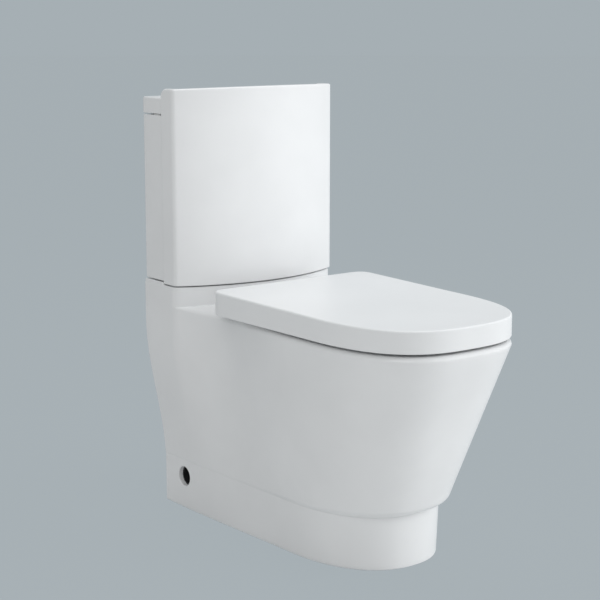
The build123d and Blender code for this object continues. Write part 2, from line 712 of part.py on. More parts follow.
wing_cut = Face(Wire([
    wing_arc, Line((0, round_stop, SHIELD_TOP), (0, round_stop, ceiling)),
    Line((0, round_stop, ceiling), (0, wing_rear + SLACK, ceiling)),
    Line((0, wing_rear + SLACK, ceiling), (0, wing_rear + SLACK, round_low)),
    Line((0, wing_rear + SLACK, round_low), (0, wing_rear, round_low))]))
shield -= extrude(wing_cut, CISTERN_WIDTH, dir=(1, 0, 0), both=True)
shield_space = bowed(inner_half, WING_REAR - SLACK, inner_edge, SHIELD_BOW)
shield -= rise(shield_space, SHIELD_BOTTOM - SLACK, SHIELD_TOP + SHIELD_CROWN + SLACK)
tank = rise(bowed(TANK_HALF, 0, SHIELD_EDGE - SHIELD_WALL / 2, SHIELD_BOW), TANK_BOTTOM, TANK_TOP)
tank_space = bowed(inner_half, TANK_WALL, inner_edge, SHIELD_BOW)
tank -= rise(tank_space, floor_top, TANK_TOP + SLACK)
tank += shield

# Holes in the tank floor for the valves and the two bolts.
VALVE_HOLE = 33.0
SUPPLY_TAIL = 10.4
SUPPLY_SHANK = 10.9
TAIL_GAP = 0.6
BOLT_HOLE_GAP = 1.0
tank_holes = upright(VALVE_HOLE, TANK_BOTTOM - SLACK, floor_top + SLACK, 0, INLET_DEPTH)
tank_holes += upright(SUPPLY_SHANK + TAIL_GAP, TANK_BOTTOM - SLACK, floor_top + SLACK,
                      -SUPPLY_X, SUPPLY_DEPTH)
for side in (-1, 1):
    tank_holes += upright(TANK_BOLT_RADIUS + BOLT_HOLE_GAP, TANK_BOTTOM - SLACK,
                          floor_top + SLACK, side * TANK_BOLT_X, INLET_DEPTH)
tank -= tank_holes
save(tank, "cistern_tank")

# Pads, bolts and the foam gasket between the pan and the cistern.
PAD_HALF = 8.0
PAD_INSET = 27.0
PAD_X = PAN_HALF - PAD_INSET
PAD_REAR = 22.0
PAD_FRONT = 50.0
BOLT_WASHER_HIGH = 4.0
BOLT_WASHER_RADIUS = 14.0
BOLT_HEAD_FLATS = 13.0
BOLT_HEAD_HIGH = 6.0
BOLT_REACH = 22.0
BOLT_END = DECK_UNDERSIDE - BOLT_REACH
WING_NUT_HIGH = 10.0
WING_NUT_FLATS = 20.0
NUT_WING_HALF = 20.0
NUT_WING_THICK = 6.0
NUT_WING_DROP = 4.0
GASKET_RADIUS = 49.0
BACKNUT_RADIUS = 41.0
BACKNUT_HIGH = 12.0


def tank_pad(x, d):
    return block(x - PAD_HALF, x + PAD_HALF, d - PAD_HALF, d + PAD_HALF,
                 TANK_SEAT, TANK_BOTTOM)


pad_spots = [(s * PAD_X, d) for s in (-1, 1) for d in (PAD_REAR, PAD_FRONT)]
save(Compound(children=[tank_pad(x, d) for x, d in pad_spots]), "tank_pads")


def tank_bolt(side):
    x = side * TANK_BOLT_X
    seat_z = floor_top + BOLT_WASHER_HIGH
    shape = upright(TANK_BOLT_RADIUS, BOLT_END, seat_z, x, INLET_DEPTH)
    return shape + hexagon(BOLT_HEAD_FLATS, seat_z, seat_z + BOLT_HEAD_HIGH, x, INLET_DEPTH)


def bolt_washer(side):
    return ring(BOLT_WASHER_RADIUS, TANK_BOLT_RADIUS, floor_top,
                floor_top + BOLT_WASHER_HIGH, side * TANK_BOLT_X, INLET_DEPTH)


def bolt_nut(side):
    x = side * TANK_BOLT_X
    low = DECK_UNDERSIDE - WING_NUT_HIGH
    nut = hexagon(WING_NUT_FLATS, low, DECK_UNDERSIDE, x, INLET_DEPTH)
    nut += block(x - NUT_WING_THICK / 2, x + NUT_WING_THICK / 2, INLET_DEPTH - NUT_WING_HALF,
                 INLET_DEPTH + NUT_WING_HALF, low - NUT_WING_DROP,
                 DECK_UNDERSIDE - NUT_WING_DROP)
    return nut - upright(TANK_BOLT_RADIUS, low - NUT_WING_DROP - SLACK,
                         DECK_UNDERSIDE + SLACK, x, INLET_DEPTH)


save(pair(tank_bolt), "tank_bolts")
save(pair(bolt_washer), "bolt_washers")
save(pair(bolt_nut), "bolt_nuts")
save(ring(GASKET_RADIUS, BACKNUT_RADIUS + SLACK, RECESS_FLOOR, TANK_BOTTOM, 0, INLET_DEPTH),
     "doughnut_gasket")

# Flush valve: base and tail through the tank floor, tower, bridge and backnut.
VALVE_TAIL = 30.0
VALVE_BORE = 25.0
VALVE_FLANGE = 42.0
FLANGE_HIGH = 6.0
VALVE_WASHER_HIGH = 4.0
TAIL_SINK = 11.0
TAIL_END = PLATFORM_HEIGHT - TAIL_SINK
SEAT_RISE = 4.0
TOWER_GAP = 29.5
TOWER_DROP = 107.0
TOWER_TOP = TANK_TOP - TOWER_DROP
TOWER_RADIUS = 40.0
TOWER_BORE = 36.0
TOWER_PLATE = 6.0
TUBE_RADIUS = 14.0
TUBE_BORE = 11.0
TUBE_DROP = 61.0
TUBE_TOP = TANK_TOP - TUBE_DROP
TUBE_GAP = 0.5
SEAL_HIGH = 4.0
DISC_RADIUS = 32.0
DISC_HIGH = 4.0
BRIDGE_DROP = 41.0
BRIDGE_LOW = TANK_TOP - BRIDGE_DROP
BRIDGE_HIGH = 6.0
BRIDGE_HALF = 36.0
BRIDGE_WIDE = 10.0
LEG_WIDE = 6.0
ROD_RADIUS = 3.0
ROD_GAP = 0.6
FULL_ROD_X = 9.0
HALF_ROD_X = -13.0
base_low = floor_top + VALVE_WASHER_HIGH
flange_top = base_low + FLANGE_HIGH
tower_low = flange_top + TOWER_GAP
seat_plane = flange_top + SEAT_RISE
valve_base = upright(VALVE_FLANGE, base_low, flange_top, 0, INLET_DEPTH)
valve_base += upright(VALVE_TAIL, TAIL_END, base_low, 0, INLET_DEPTH)
valve_base += upright(VALVE_BORE + 4.0, flange_top, seat_plane, 0, INLET_DEPTH)
valve_base -= upright(VALVE_BORE, TAIL_END - SLACK, seat_plane + SLACK, 0, INLET_DEPTH)
pillar_middle = (TOWER_RADIUS + TOWER_BORE) / 2
for k in range(4):
    turn = math.pi / 4 + k * math.pi / 2
    x = pillar_middle * math.cos(turn)
    d = INLET_DEPTH + pillar_middle * math.sin(turn)
    valve_base += upright(2.0, flange_top, tower_low, x, d)
save(valve_base, "valve_base")
save(ring(VALVE_FLANGE, VALVE_TAIL, floor_top, base_low, 0, INLET_DEPTH), "valve_washer")
save(ring(BACKNUT_RADIUS, VALVE_TAIL, TANK_BOTTOM - BACKNUT_HIGH, TANK_BOTTOM, 0, INLET_DEPTH),
     "valve_backnut")

tower = ring(TOWER_RADIUS, TOWER_BORE, tower_low, TOWER_TOP, 0, INLET_DEPTH)
tower += ring(TOWER_RADIUS, TUBE_RADIUS + TUBE_GAP, TOWER_TOP, TOWER_TOP + TOWER_PLATE,
              0, INLET_DEPTH)
save(tower, "valve_tower")

tube_low = seat_plane + SEAL_HIGH
overflow = ring(TUBE_RADIUS, TUBE_BORE, tube_low, TUBE_TOP, 0, INLET_DEPTH)
overflow += ring(DISC_RADIUS, TUBE_BORE, tube_low, tube_low + DISC_HIGH, 0, INLET_DEPTH)
save(overflow, "overflow_tube")
save(ring(DISC_RADIUS, TUBE_BORE + 2.0, seat_plane, tube_low, 0, INLET_DEPTH), "valve_seal")

bridge_top = BRIDGE_LOW + BRIDGE_HIGH
bridge = block(-BRIDGE_HALF, BRIDGE_HALF, INLET_DEPTH - BRIDGE_WIDE,
               INLET_DEPTH + BRIDGE_WIDE, BRIDGE_LOW, bridge_top)
for side in (-1, 1):
    lo, hi = side_row(BRIDGE_HALF - LEG_WIDE, BRIDGE_HALF, side)
    bridge += block(lo, hi, INLET_DEPTH - BRIDGE_WIDE, INLET_DEPTH + BRIDGE_WIDE,
                    TOWER_TOP + TOWER_PLATE, BRIDGE_LOW)
for x in (FULL_ROD_X, HALF_ROD_X):
    bridge -= upright(ROD_RADIUS + ROD_GAP, BRIDGE_LOW - SLACK, bridge_top + SLACK,
                      x, INLET_DEPTH)
save(bridge, "valve_bridge")

# Fill valve: column with its inlet tail, head, lever and float cup.
COLUMN_RADIUS = 14.0
COLUMN_BORE = 7.0
COLUMN_DROP = 57.0
COLUMN_TOP = TANK_TOP - COLUMN_DROP
COLUMN_FLANGE = 22.0
SUPPLY_SINK = 40.0
SUPPLY_END = PLATFORM_HEIGHT - SUPPLY_SINK
SUPPLY_BACKNUT = 32.0
SUPPLY_BACKNUT_HIGH = 10.0
SUPPLY_WASHER_HIGH = 4.0
HEAD_RADIUS = 18.0
HEAD_HIGH = 18.0
ARM_RISE = 17.0
ARM_HEIGHT = COLUMN_TOP + HEAD_HIGH + ARM_RISE
ARM_PIVOT = 15.0
ARM_REACH = 27.0
ARM_HALF = 5.0
ARM_THICK = 5.0
ARM_PIN = 2.5
LUG_WALL = 3.0
FLOAT_RADIUS = 30.0
FLOAT_GAP = 0.6
FLOAT_DROP = 140.0
FLOAT_LOW = COLUMN_TOP - FLOAT_DROP
FLOAT_HIGH = 62.0
FLOAT_WALL = 2.5
FLOAT_ROD = 2.5
FLOAT_ROD_GAP = 0.4
supply_x = -SUPPLY_X
column_low = floor_top + SUPPLY_WASHER_HIGH
column = upright(COLUMN_RADIUS, column_low, COLUMN_TOP, supply_x, SUPPLY_DEPTH)
column += upright(COLUMN_FLANGE, column_low, column_low + 5.0, supply_x, SUPPLY_DEPTH)
backnut_low = TANK_BOTTOM - SUPPLY_BACKNUT_HIGH
shank_low = backnut_low - SLACK
column += upright(SUPPLY_SHANK, shank_low, column_low, supply_x, SUPPLY_DEPTH)
column += upright(SUPPLY_TAIL, SUPPLY_END, shank_low, supply_x, SUPPLY_DEPTH)
column -= upright(COLUMN_BORE, SUPPLY_END - SLACK, COLUMN_TOP + SLACK, supply_x, SUPPLY_DEPTH)
save(column, "fill_column")
save(ring(COLUMN_FLANGE, SUPPLY_SHANK, floor_top, column_low, supply_x, SUPPLY_DEPTH),
     "inlet_washer")
inlet_nut = hexagon(SUPPLY_BACKNUT, backnut_low, TANK_BOTTOM, supply_x, SUPPLY_DEPTH)
inlet_nut -= upright(SUPPLY_SHANK, backnut_low - SLACK, TANK_BOTTOM + SLACK,
                     supply_x, SUPPLY_DEPTH)
save(inlet_nut, "inlet_backnut")

head_top = COLUMN_TOP + HEAD_HIGH
pivot_x = supply_x - ARM_PIVOT
tip_x = supply_x + ARM_REACH
head = upright(HEAD_RADIUS, COLUMN_TOP, head_top, supply_x, SUPPLY_DEPTH)
lug_in = ARM_HALF + 0.5
for side in (-1, 1):
    d0, d1 = sorted((SUPPLY_DEPTH + side * lug_in, SUPPLY_DEPTH + side * (lug_in + LUG_WALL)))
    head += block(pivot_x - 4.0, pivot_x + 6.0, d0, d1, head_top - 6.0, ARM_HEIGHT + 5.0)
pin_reach = lug_in + LUG_WALL
pivot = Pos(pivot_x, at(SUPPLY_DEPTH), ARM_HEIGHT) * Rot(90, 0, 0)
head -= pivot * Cylinder(ARM_PIN, 2 * pin_reach + 2 * SLACK)
save(head, "fill_head")
save(pivot * Cylinder(ARM_PIN, 2 * pin_reach), "arm_pin")
arm = block(pivot_x, tip_x + 6.0, SUPPLY_DEPTH - ARM_HALF, SUPPLY_DEPTH + ARM_HALF,
            ARM_HEIGHT - ARM_THICK / 2, ARM_HEIGHT + ARM_THICK / 2)
arm += pivot * Cylinder(4.5, 2 * ARM_HALF)
arm -= pivot * Cylinder(ARM_PIN + RUNNING_FIT, 2 * ARM_HALF + 2 * SLACK)
save(arm, "float_arm")

cup_top = FLOAT_LOW + FLOAT_HIGH
cup_bore = COLUMN_RADIUS + FLOAT_GAP
cup = ring(FLOAT_RADIUS, cup_bore, FLOAT_LOW, cup_top, supply_x, SUPPLY_DEPTH)
cup -= ring(FLOAT_RADIUS - FLOAT_WALL, cup_bore + FLOAT_WALL, FLOAT_LOW - 5.0,
            cup_top - FLOAT_WALL, supply_x, SUPPLY_DEPTH)
rod_top = ARM_HEIGHT - ARM_THICK / 2 - FLOAT_ROD_GAP
cup += upright(FLOAT_ROD, cup_top - SLACK, rod_top, tip_x, SUPPLY_DEPTH)
save(cup, "fill_float")

# Cistern lid: lies on the tank behind the shield and carries the buttons.
LID_SEAM = 2.0
CISTERN_LID_HIGH = 30.0
LID_WING_GAP = 2.0
LID_POCKET = 16.0
LID_MARGIN = 18.0
LID_TOP_ROUND = 3.0
BEZEL_RADIUS = 36.0
BEZEL_HIGH = 3.5
SLEEVE_RADIUS = 23.8
SLEEVE_BORE = 21.5
SLEEVE_DROP = 21.0
SLEEVE_GAP = 0.7
BEZEL_NUT_RADIUS = 33.0
BEZEL_NUT_HIGH = 9.0
cover_low = TANK_TOP + LID_SEAM
cover_top = cover_low + CISTERN_LID_HIGH
sleeve_end = cover_low - SLEEVE_DROP
cover = rise(bowed(inner_half - LID_WING_GAP, WING_REAR - 10.0, inner_edge - LID_WING_GAP,
                   SHIELD_BOW), cover_low, cover_top)
cover += block(-TANK_HALF, TANK_HALF, 0, WING_REAR - LID_WING_GAP, cover_low, cover_top)
cover = fillet(cover.faces().sort_by(Axis.Z)[-1].edges(), LID_TOP_ROUND)
pocket = bowed(inner_half - LID_MARGIN, TANK_WALL + 8.0, inner_edge - LID_MARGIN, SHIELD_BOW)
cover -= rise(pocket, cover_low - SLACK, cover_low + LID_POCKET)
cover -= upright(SLEEVE_RADIUS + SLEEVE_GAP, cover_low, cover_top + SLACK, 0, INLET_DEPTH)
save(cover, "cistern_lid")

PAD_LENGTH = 20.0
LID_PAD_INSET = 38.0
rear_pad = TANK_WALL / 2
lid_pads = []
for side in (-1, 1):
    x = side * (inner_half - LID_PAD_INSET)
    lid_pads.append(block(x - PAD_LENGTH / 2, x + PAD_LENGTH / 2, rear_pad - 4.0,
                          rear_pad + 4.0, TANK_TOP, cover_low))
    lo, hi = side_row(inner_half + 2.0, TANK_HALF - 2.0, side)
    lid_pads.append(block(lo, hi, LID_PAD_INSET, LID_PAD_INSET + PAD_LENGTH, TANK_TOP, cover_low))
save(Compound(children=lid_pads), "lid_pads")

# Flush buttons: chrome ring, sleeve, nut, two pressed halves and their rods.
BUTTON_GAP = 0.5
BUTTON_PROUD = 1.0
BUTTON_HIGH = 14.0
SPLIT_X = -5.5
SPLIT_GAP = 1.2
ROD_SINK = 3.5
rod_end = bridge_top - ROD_SINK
bezel = ring(BEZEL_RADIUS, SLEEVE_BORE, cover_top, cover_top + BEZEL_HIGH, 0, INLET_DEPTH)
bezel += ring(SLEEVE_RADIUS, SLEEVE_BORE, sleeve_end, cover_top, 0, INLET_DEPTH)
save(bezel, "button_bezel")
nut_high = cover_low + LID_POCKET
save(ring(BEZEL_NUT_RADIUS, SLEEVE_RADIUS, nut_high - BEZEL_NUT_HIGH, nut_high, 0, INLET_DEPTH),
     "bezel_nut")
button_top = cover_top + BEZEL_HIGH + BUTTON_PROUD
button_low = button_top - BUTTON_HIGH
button_radius = SLEEVE_BORE - BUTTON_GAP
disc = upright(button_radius, button_low, button_top, 0, INLET_DEPTH)
reach = button_radius + SLACK
full_side = block(SPLIT_X + SPLIT_GAP / 2, reach, INLET_DEPTH - reach, INLET_DEPTH + reach,
                  button_low - SLACK, button_top + SLACK)
half_side = block(-reach, SPLIT_X - SPLIT_GAP / 2, INLET_DEPTH - reach, INLET_DEPTH + reach,
                  button_low - SLACK, button_top + SLACK)
BUTTON_ROUND = 0.8
for node, half_space in (("full_flush_button", full_side), ("half_flush_button", half_side)):
    button = disc & half_space
    button = fillet(button.faces().sort_by(Axis.Z)[-1].edges(), BUTTON_ROUND)
    save(button, node)
save(upright(ROD_RADIUS, rod_end, button_low, FULL_ROD_X, INLET_DEPTH), "full_push_rod")
save(upright(ROD_RADIUS, rod_end, button_low, HALF_ROD_X, INLET_DEPTH), "half_push_rod")
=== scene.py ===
import bmesh
import bpy
import math
import numpy as np
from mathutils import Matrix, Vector


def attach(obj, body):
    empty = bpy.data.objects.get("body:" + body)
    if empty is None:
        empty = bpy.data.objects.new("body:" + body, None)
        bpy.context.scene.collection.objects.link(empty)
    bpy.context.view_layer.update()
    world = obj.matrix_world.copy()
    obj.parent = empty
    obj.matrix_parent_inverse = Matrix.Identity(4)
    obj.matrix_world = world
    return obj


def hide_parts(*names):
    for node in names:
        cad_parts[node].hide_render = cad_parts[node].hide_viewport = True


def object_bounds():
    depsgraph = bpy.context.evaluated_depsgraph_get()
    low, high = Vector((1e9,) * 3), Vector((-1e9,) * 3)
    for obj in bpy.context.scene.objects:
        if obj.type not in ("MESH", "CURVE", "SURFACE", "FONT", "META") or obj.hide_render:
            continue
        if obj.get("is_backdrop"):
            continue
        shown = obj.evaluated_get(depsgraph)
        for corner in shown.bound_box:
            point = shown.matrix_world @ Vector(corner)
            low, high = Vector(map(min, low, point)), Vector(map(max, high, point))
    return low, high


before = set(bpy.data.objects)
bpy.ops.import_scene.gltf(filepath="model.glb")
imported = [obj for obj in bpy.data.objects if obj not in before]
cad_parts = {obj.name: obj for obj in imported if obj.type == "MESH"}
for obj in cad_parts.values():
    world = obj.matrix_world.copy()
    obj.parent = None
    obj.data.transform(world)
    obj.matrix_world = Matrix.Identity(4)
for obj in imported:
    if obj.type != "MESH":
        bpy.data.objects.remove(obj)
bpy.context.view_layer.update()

# Pan casting in white vitreous china, slip cast as a hollow shell: a block
# against the wall that carries the cistern, a waist, the bowl with its rolled
# rim, and a plinth that stands back below the bowl.
MM = 0.001
MERGE = 0.00002
DEPTH = 710.0
WALL_Y = DEPTH / 2
RIM = 405.0
PLATFORM = 442.0
DECK_UNDERSIDE = 388.0
PAN_HALF = 183.0
PAN_WALL = 12.0
PLINTH_HALF = 143.0
PLINTH_WIDE = 131.5
PLINTH_DRAFT = 3.5
PLINTH_TOP = 96.0
PLINTH_FRONT = 572.0
PLINTH_BLUNT = 2.3
FOOT_ROUND = 3.0
LIP_TOP = 120.0
LIP_LOW = 4.0
LIP_HIGH = 18.0
LIP_REACH = 0.78
LIP_SWELL = 0.42
BOWL_LOW = 138.0
BOWL_HIGH = 172.0
BOWL_FRONT = 589.9
BOWL_SLOPE = 0.4
BOWL_BLUNT_LOW = 2.5
BOWL_BLUNT_HIGH = 3.0
RIM_ROUND = 9.0
RIM_SOFT = 14.0
BLOCK_LOW = 75.0
BLOCK_RISE = 295.0
EDGE_LOW = 92.0
EDGE_HIGH = 106.0
EDGE_SOFT = 12.0
EDGE_FOLLOW = 0.4
WAIST_LOW = 141.0
WAIST_HIGH = 148.0
WAIST_DEPTH = 205.0
WAIST_SHARE = 0.35
MID_LOW = 138.5
MID_HIGH = 157.0
MID_DEPTH = 290.0
MID_SHARE = 0.7
WIDE_DEPTH_LOW = 369.0
WIDE_DEPTH_HIGH = 455.0
REAR_SOFT = 3.0
REAR_GAP = 95.0
REAR_TOP = 300.0


def place(x, depth, z):
    """Point in metres from lateral place, distance to the wall and height."""
    return Vector((x * MM, (WALL_Y - depth) * MM, z * MM))


def mix(low, high, share):
    return low + (high - low) * share


def soft_step(share):
    """Smooth rise from zero to one."""
    share = min(max(share, 0.0), 1.0)
    return share * share * (3.0 - 2.0 * share)


def spread(low, high, count):
    """Evenly spaced values with both ends."""
    return [mix(low, high, k / (count - 1)) for k in range(count)]


def quarter(radius, count):
    """Distances of a quarter round from its two faces, at even turns."""
    turns = spread(0.0, math.pi / 2, count)
    return [(radius * (1.0 - math.cos(t)), radius * (1.0 - math.sin(t))) for t in turns]


def around(count):
    """Even turns of a full circle."""
    return [2 * math.pi * k / count for k in range(count)]


def lifted(plan_points, z):
    return [place(x, d, z) for x, d in plan_points]


class Skin:
    """Mesh under construction: strips of points that share their borders."""

    def __init__(self):
        self.mesh = bmesh.new()

    def strip(self, rows, ring=False, skip=None):
        """Quads between neighbouring rows, closed around when ring is set."""
        made = [[self.mesh.verts.new(p) for p in row] for row in rows]
        for i, (low, high) in enumerate(zip(made[:-1], made[1:])):
            for k in range(len(low) if ring else len(low) - 1):
                if skip and skip(i, k):
                    continue
                n = (k + 1) % len(low)
                self.mesh.faces.new((low[k], low[n], high[n], high[k]))
        return made

    def close_ends(self, made):
        """One face across the first row of a strip and one across the last."""
        self.mesh.faces.new(made[0])
        self.mesh.faces.new(made[-1])

    def merge(self):
        bmesh.ops.remove_doubles(self.mesh, verts=self.mesh.verts, dist=MERGE)

    def fill(self, z):
        """Flat faces between all open borders at one height."""
        self.merge()
        rim = [e for e in self.mesh.edges if e.is_boundary
               and all(abs(v.co.z - z * MM) < MERGE for v in e.verts)]
        bmesh.ops.triangle_fill(self.mesh, edges=rim, use_beauty=True, normal=(0, 0, 1))

    def cap(self, ring):
        """Faces across one closed ring of corners, which may lie aslant."""
        rim = [self.mesh.edges.get(pair) for pair in zip(ring, ring[1:] + ring[:1])]
        bmesh.ops.triangle_fill(self.mesh, edges=rim, use_beauty=True, normal=(0, 0, 1))

    def shape(self, name):
        """Object with the closed mesh, its faces pointing outwards."""
        self.merge()
        bmesh.ops.recalc_face_normals(self.mesh, faces=self.mesh.faces)
        data = bpy.data.meshes.new(name)
        self.mesh.to_mesh(data)
        self.mesh.free()
        shape = bpy.data.objects.new(name, data)
        bpy.context.collection.objects.link(shape)
        return shape


def plain_mesh(shape):
    """Result of an object's modifiers as its own plain mesh."""
    bpy.context.view_layer.update()
    ready = shape.evaluated_get(bpy.context.evaluated_depsgraph_get())
    data = bpy.data.meshes.new_from_object(ready)
    shape.modifiers.clear()
    shape.data = data
    return shape


def combined(shape, other, operation):
    """Take another shape away from this one, or grow it on."""
    bond = shape.modifiers.new("bond", "BOOLEAN")
    bond.operation = operation
    bond.object = other
    bond.solver = "EXACT"
    plain_mesh(shape)
    bpy.data.objects.remove(other)


CREASE = math.radians(40.0)


def finished(shape, body, material, *nodes):
    """Smoothed piece in its material that rides on a body and replaces nodes."""
    data = shape.data
    data.materials.clear()
    data.materials.append(material)
    data.shade_smooth()
    data.set_sharp_from_angle(angle=CREASE)
    even = shape.modifiers.new("even_normals", "WEIGHTED_NORMAL")
    even.keep_sharp = True
    even.weight = 90
    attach(shape, body)
    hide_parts(*nodes)


class Value:
    """Output of a shader node, with arithmetic that adds Math nodes."""

    def __init__(self, finish, socket):
        self.finish = finish
        self.socket = socket

    def calc(self, operation, first, second):
        return self.finish.node("ShaderNodeMath", {"operation": operation},
                                {0: first, 1: second})

    def __add__(self, other):
        return self.calc("ADD", self, other)

    def __radd__(self, other):
        return self.calc("ADD", other, self)

    def __sub__(self, other):
        return self.calc("SUBTRACT", self, other)

    def __rsub__(self, other):
        return self.calc("SUBTRACT", other, self)

    def __mul__(self, other):
        return self.calc("MULTIPLY", self, other)

    def __rmul__(self, other):
        return self.calc("MULTIPLY", other, self)


class Finish:
    """Node material; one method makes any node from settings and sockets."""

    def __init__(self, name):
        self.material = bpy.data.materials.new(name)
        self.material.use_nodes = True
        self.tree = self.material.node_tree
        self.shader = self.tree.nodes["Principled BSDF"]

    def feed(self, socket, value):
        if isinstance(value, Value):
            self.tree.links.new(value.socket, socket)
        else:
            socket.default_value = value

    def node(self, kind, settings=None, sockets=None, out=0):
        made = self.tree.nodes.new(kind)
        for key, value in (settings or {}).items():
            if key == "stops":
                for stop, (spot, colour) in zip(made.color_ramp.elements, value):
                    stop.position = spot
                    stop.color = (*colour, 1.0)
            else:
                setattr(made, key, value)
        for key, value in (sockets or {}).items():
            self.feed(made.inputs[key], value)
        return Value(self, made.outputs[out])

    def noise(self, scale, detail=2.0, stretch=(1.0, 1.0, 1.0)):
        """Cloudy value in object space, stretched along an axis if asked."""
        here = self.node("ShaderNodeTexCoord", out=3)
        there = self.node("ShaderNodeMapping", None, {"Vector": here, "Scale": stretch})
        return self.node("ShaderNodeTexNoise", None,
                         {"Vector": there, "Scale": scale, "Detail": detail})

    def ramp(self, value, low, high, start=0.3, stop=0.7):
        """Colour between two ends of a value."""
        return self.node("ShaderNodeValToRGB", {"stops": [(start, low), (stop, high)]},
                         {0: value})

    def relief(self, height, strength, distance):
        return self.node("ShaderNodeBump", None, {
            "Height": height, "Strength": strength, "Distance": distance})

    def surface(self, **inputs):
        """Inputs of the surface shader, spaces written as underscores."""
        for key, value in inputs.items():
            self.feed(self.shader.inputs[key.replace("_", " ")], value)
        return self.material


def china_glaze():
    """Thick white glaze with faint clouding and a slow fired ripple."""
    finish = Finish("china_glaze")
    cloud = finish.noise(7.0, 3.0)
    ripple = finish.noise(16.0, 1.0)
    pin = finish.noise(900.0, 1.0)
    tone = finish.ramp(cloud, (0.80, 0.806, 0.81), (0.84, 0.846, 0.85))
    return finish.surface(
        Base_Color=tone, Roughness=0.26 + cloud * 0.06 + pin * 0.02, IOR=1.5,
        Coat_Weight=0.2, Coat_Roughness=0.14,
        Normal=finish.relief(ripple * 0.8 + pin * 0.02, 0.08, 0.002))


china = china_glaze()


def cubic(points, count):
    """Points along a smooth curve through the given plan points."""
    knots = np.array(points, dtype=float)
    legs = np.linalg.norm(np.diff(knots, axis=0), axis=1)
    t = np.concatenate([[0.0], np.cumsum(legs)])
    n = len(t)
    system = np.zeros((n, n))
    right = np.zeros((n, 2))
    system[0, 0] = system[-1, -1] = 1.0
    for k in range(1, n - 1):
        a = t[k] - t[k - 1]
        b = t[k + 1] - t[k]
        system[k, k - 1:k + 2] = a, 2 * (a + b), b
        right[k] = 6 * ((knots[k + 1] - knots[k]) / b - (knots[k] - knots[k - 1]) / a)
    curve = np.linalg.solve(system, right)
    result = []
    for u in np.linspace(0.0, t[-1], count):
        k = min(int(np.searchsorted(t, u, side="right")) - 1, n - 2)
        h = t[k + 1] - t[k]
        a = (t[k + 1] - u) / h
        b = (u - t[k]) / h
        value = a * knots[k] + b * knots[k + 1]
        value = value + ((a ** 3 - a) * curve[k] + (b ** 3 - b) * curve[k + 1]) * h * h / 6
        result.append(tuple(value))
    return result


def nose(half, start, stop, power, steps):
    """Blunt rounded front from its widest place to its tip."""
    points = []
    for k in range(steps + 1):
        turn = math.pi / 2 * k / steps
        x = half * max(math.cos(turn), 0.0) ** (2 / power)
        points.append((x, mix(start, stop, math.sin(turn) ** (2 / power))))
    points[-1] = (0.0, stop)
    return points


def flipped(points):
    """Same points on the other side, in the order they were given."""
    return [(-x, d) for x, d in points]


def mirrored(points):
    """Right side points up to the middle, followed by the left side."""
    return points + flipped(points[-2::-1])


def rounded(before, corner, after, count=6):
    """Soft turn between two places around a corner."""
    turn = []
    for s in spread(0.0, 1.0, count):
        x = (1 - s) ** 2 * before[0] + 2 * s * (1 - s) * corner[0] + s * s * after[0]
        d = (1 - s) ** 2 * before[1] + 2 * s * (1 - s) * corner[1] + s * s * after[1]
        turn.append((x, d))
    return turn


def resampled(points, count):
    """Same curve with evenly spaced points."""
    line = np.array(points)
    legs = np.linalg.norm(np.diff(line, axis=0), axis=1)
    t = np.concatenate([[0.0], np.cumsum(legs)])
    wanted = np.linspace(0.0, t[-1], count)
    return list(zip(np.interp(wanted, t, line[:, 0]), np.interp(wanted, t, line[:, 1])))


def shifted(points, amounts, ring=False):
    """Plan points moved inwards, each by its own amount."""
    line = np.array(points, dtype=float)
    ahead = np.roll(line, -1, axis=0)
    behind = np.roll(line, 1, axis=0)
    if not ring:
        ahead[-1] = line[-1]
        behind[0] = line[0]
    run = ahead - behind
    run /= np.linalg.norm(run, axis=1)[:, None]
    inward = np.stack([-run[:, 1], run[:, 0]], axis=1)
    return [tuple(p) for p in line + inward * np.array(amounts)[:, None]]


def inset_ring(points, amount):
    """Closed plan outline moved inwards all round."""
    return shifted(points, [amount] * len(points), ring=True)


def pan_plan(z):
    """Plan sizes at a height: rear half, edge, waist, middle, nose."""
    rise = min(max((z - PLINTH_TOP) / (RIM - PLINTH_TOP), 0.0), 1.0)
    return np.array([
        mix(PLINTH_HALF, PAN_HALF, soft_step((z - BLOCK_LOW) / BLOCK_RISE)),
        mix(EDGE_LOW, EDGE_HIGH, rise), mix(WAIST_LOW, WAIST_HIGH, rise),
        mix(MID_LOW, MID_HIGH, rise), mix(BOWL_LOW, BOWL_HIGH, rise),
        mix(WIDE_DEPTH_LOW, WIDE_DEPTH_HIGH, rise),
        BOWL_FRONT + BOWL_SLOPE * (z - PLINTH_TOP),
        mix(BOWL_BLUNT_LOW, BOWL_BLUNT_HIGH, rise)])


def foot_plan(z):
    """Plan sizes of the plinth, which widens a little on its way up."""
    draft = PLINTH_DRAFT * z / PLINTH_TOP
    wide = PLINTH_WIDE + draft
    waist = mix(PLINTH_HALF, wide, WAIST_SHARE)
    middle = mix(PLINTH_HALF, wide, MID_SHARE)
    return np.array([PLINTH_HALF, EDGE_LOW, waist, middle, wide, WIDE_DEPTH_LOW,
                     PLINTH_FRONT + draft, PLINTH_BLUNT])


def plan_at(z):
    """Plan sizes of plinth, lip and bowl on the inside of the wall."""
    if z <= PLINTH_TOP:
        return foot_plan(z)
    share = min((z - PLINTH_TOP) / (LIP_TOP - PLINTH_TOP), 1.0)
    return mix(foot_plan(PLINTH_TOP), pan_plan(max(z, LIP_TOP)), share)


def pan_front(plan, inset, count):
    """Front of the pan in plan, from the right block edge to the left one."""
    half, edge, waist, middle, wide, wide_depth, tip, power = plan
    right = [(half - inset, edge), (waist - inset, WAIST_DEPTH), (middle - inset, MID_DEPTH)]
    right += nose(wide - inset, wide_depth, tip - inset, power, 6)
    return cubic(mirrored(right), count)


